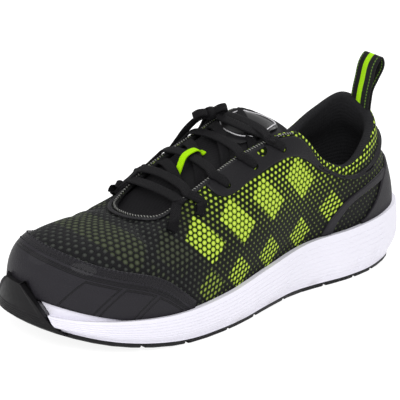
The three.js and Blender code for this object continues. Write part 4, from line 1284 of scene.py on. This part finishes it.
knot = [wound((0.2, -0.4, 0.0), (3.9, 3.0), (1, 0.35, 0.1), "knot_wrap_1"),
        wound((-0.6, 0.4, 0.1), (3.7, 2.9), (0.4, -1, 0.15), "knot_wrap_2"),
        wound((0.0, 0.0, -0.2), (2.4, 1.8), (0.9, 0.5, 0.3), "knot_core")]
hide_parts("lace_knot")
loops = {
    "lace_loop_front": [(-1.0, -15.0, 111.6), (2.4, -14.2, 113.2), (6.0, -15.6, 112.8), (7.4, -17.8, 110.6),
                        (5.0, -18.8, 109.4), (1.2, -17.4, 109.8), (-1.4, -16.2, 110.4)],
    "lace_loop_back": [(-4.4, -12.6, 113.6), (-6.0, -10.0, 116.0), (-8.4, -8.0, 117.0), (-10.2, -8.6, 115.6),
                       (-9.4, -10.8, 113.8), (-6.6, -12.8, 112.6), (-4.6, -13.6, 112.0)],
}
loop_pieces = []
for name, points in loops.items():
    route = through(points, 50)
    piece = braided(name + "_braid", route, route - route.mean(0), (5.0, 1.5))
    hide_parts(name)
    loop_pieces.append(piece)

for k, (name, points) in enumerate(ends.items()):
    route = through(points, 60)
    broad = unit(np.array([1, 0, 0.35]))
    up = np.cross(unit(np.gradient(route, axis=0)), broad)

    def size(a):
        near = ease(0.74, 0.8, a)
        return blend(LACE[0] - 0.6, 3.0, near), blend(LACE[1], 2.6, near)

    piece = braided(name + "_braid", route, up, size, 0.6)
    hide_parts(name)
    tip_route = through(route[46:], 24)
    tip_up = np.cross(unit(np.gradient(tip_route, axis=0)), broad)
    tip = finished(ring_along(tip_route, tip_up, (3.3, 2.9), 14, 0.8), name + "_tip", lace_tip)
    path = [tuple((p + to_frame) / 1000) for p in route[::3]] + [tuple((route[-1] + to_frame) / 1000)]
    company = [tip] + ([*knot, *loop_pieces] if k == 0 else [])


# Studio
# A plain pale floor with soft white light from above, in front and behind.
# The camera stands off the outer side of the toe.
bm = bmesh.new()
bmesh.ops.create_grid(bm, x_segments=1, y_segments=1, size=4.0)
floor_mesh = bpy.data.meshes.new("floor")
bm.to_mesh(floor_mesh)
bm.free()
floor_paint = Paint("pale_floor")
floor_mesh.materials.append(floor_paint.done((0.3, 0.3, 0.3), 0.9, specular=0.0, glow=0.88))
floor = placed("floor", floor_mesh)
bpy.context.scene.view_settings.view_transform = "Standard"
world = bpy.data.worlds.new("studio")
bpy.context.scene.world = world
world.use_nodes = True
sky = world.node_tree.nodes["Background"].inputs
sky["Color"].default_value = (1.0, 1.0, 1.0, 1.0)
sky["Strength"].default_value = 0.68
for name, spot, size, power in (("key", (0.9, 1.1, 1.3), 0.9, 16.0), ("fill", (1.3, -0.6, 0.9), 1.0, 6.0),
                                ("back", (-1.0, -0.3, 1.2), 0.9, 10.0)):
    lamp = bpy.data.lights.new(name, "AREA")
    lamp.shape = "DISK"
    lamp.size = size
    lamp.energy = power
    light = placed(name, lamp)
    light.location = spot
    light.rotation_euler = (Vector((0, 0, 0.05)) - Vector(spot)).to_track_quat("-Z", "Y").to_euler()

lens = bpy.data.cameras.new("camera")
lens.sensor_width = 36
lens.lens = 36 * 2175 / 400
camera = placed("camera", lens)
azimuth, height_angle, roll = (math.radians(v) for v in (135.4, 20.80, 5.32))  # the photo's own angle
toward = Vector((math.sin(azimuth) * math.cos(height_angle), -math.cos(azimuth) * math.cos(height_angle),
                 math.sin(height_angle)))
right = Vector((math.cos(azimuth), math.sin(azimuth), 0))
up = toward.cross(right)
tilted_right = right * math.cos(roll) + up * math.sin(roll)
tilted_up = up * math.cos(roll) - right * math.sin(roll)
camera.matrix_world = Matrix((tilted_right, tilted_up, toward)).transposed().to_4x4()
camera.location = Vector((0.00645, -0.0086, 0.059)) + toward * 1.33
bpy.context.scene.camera = camera
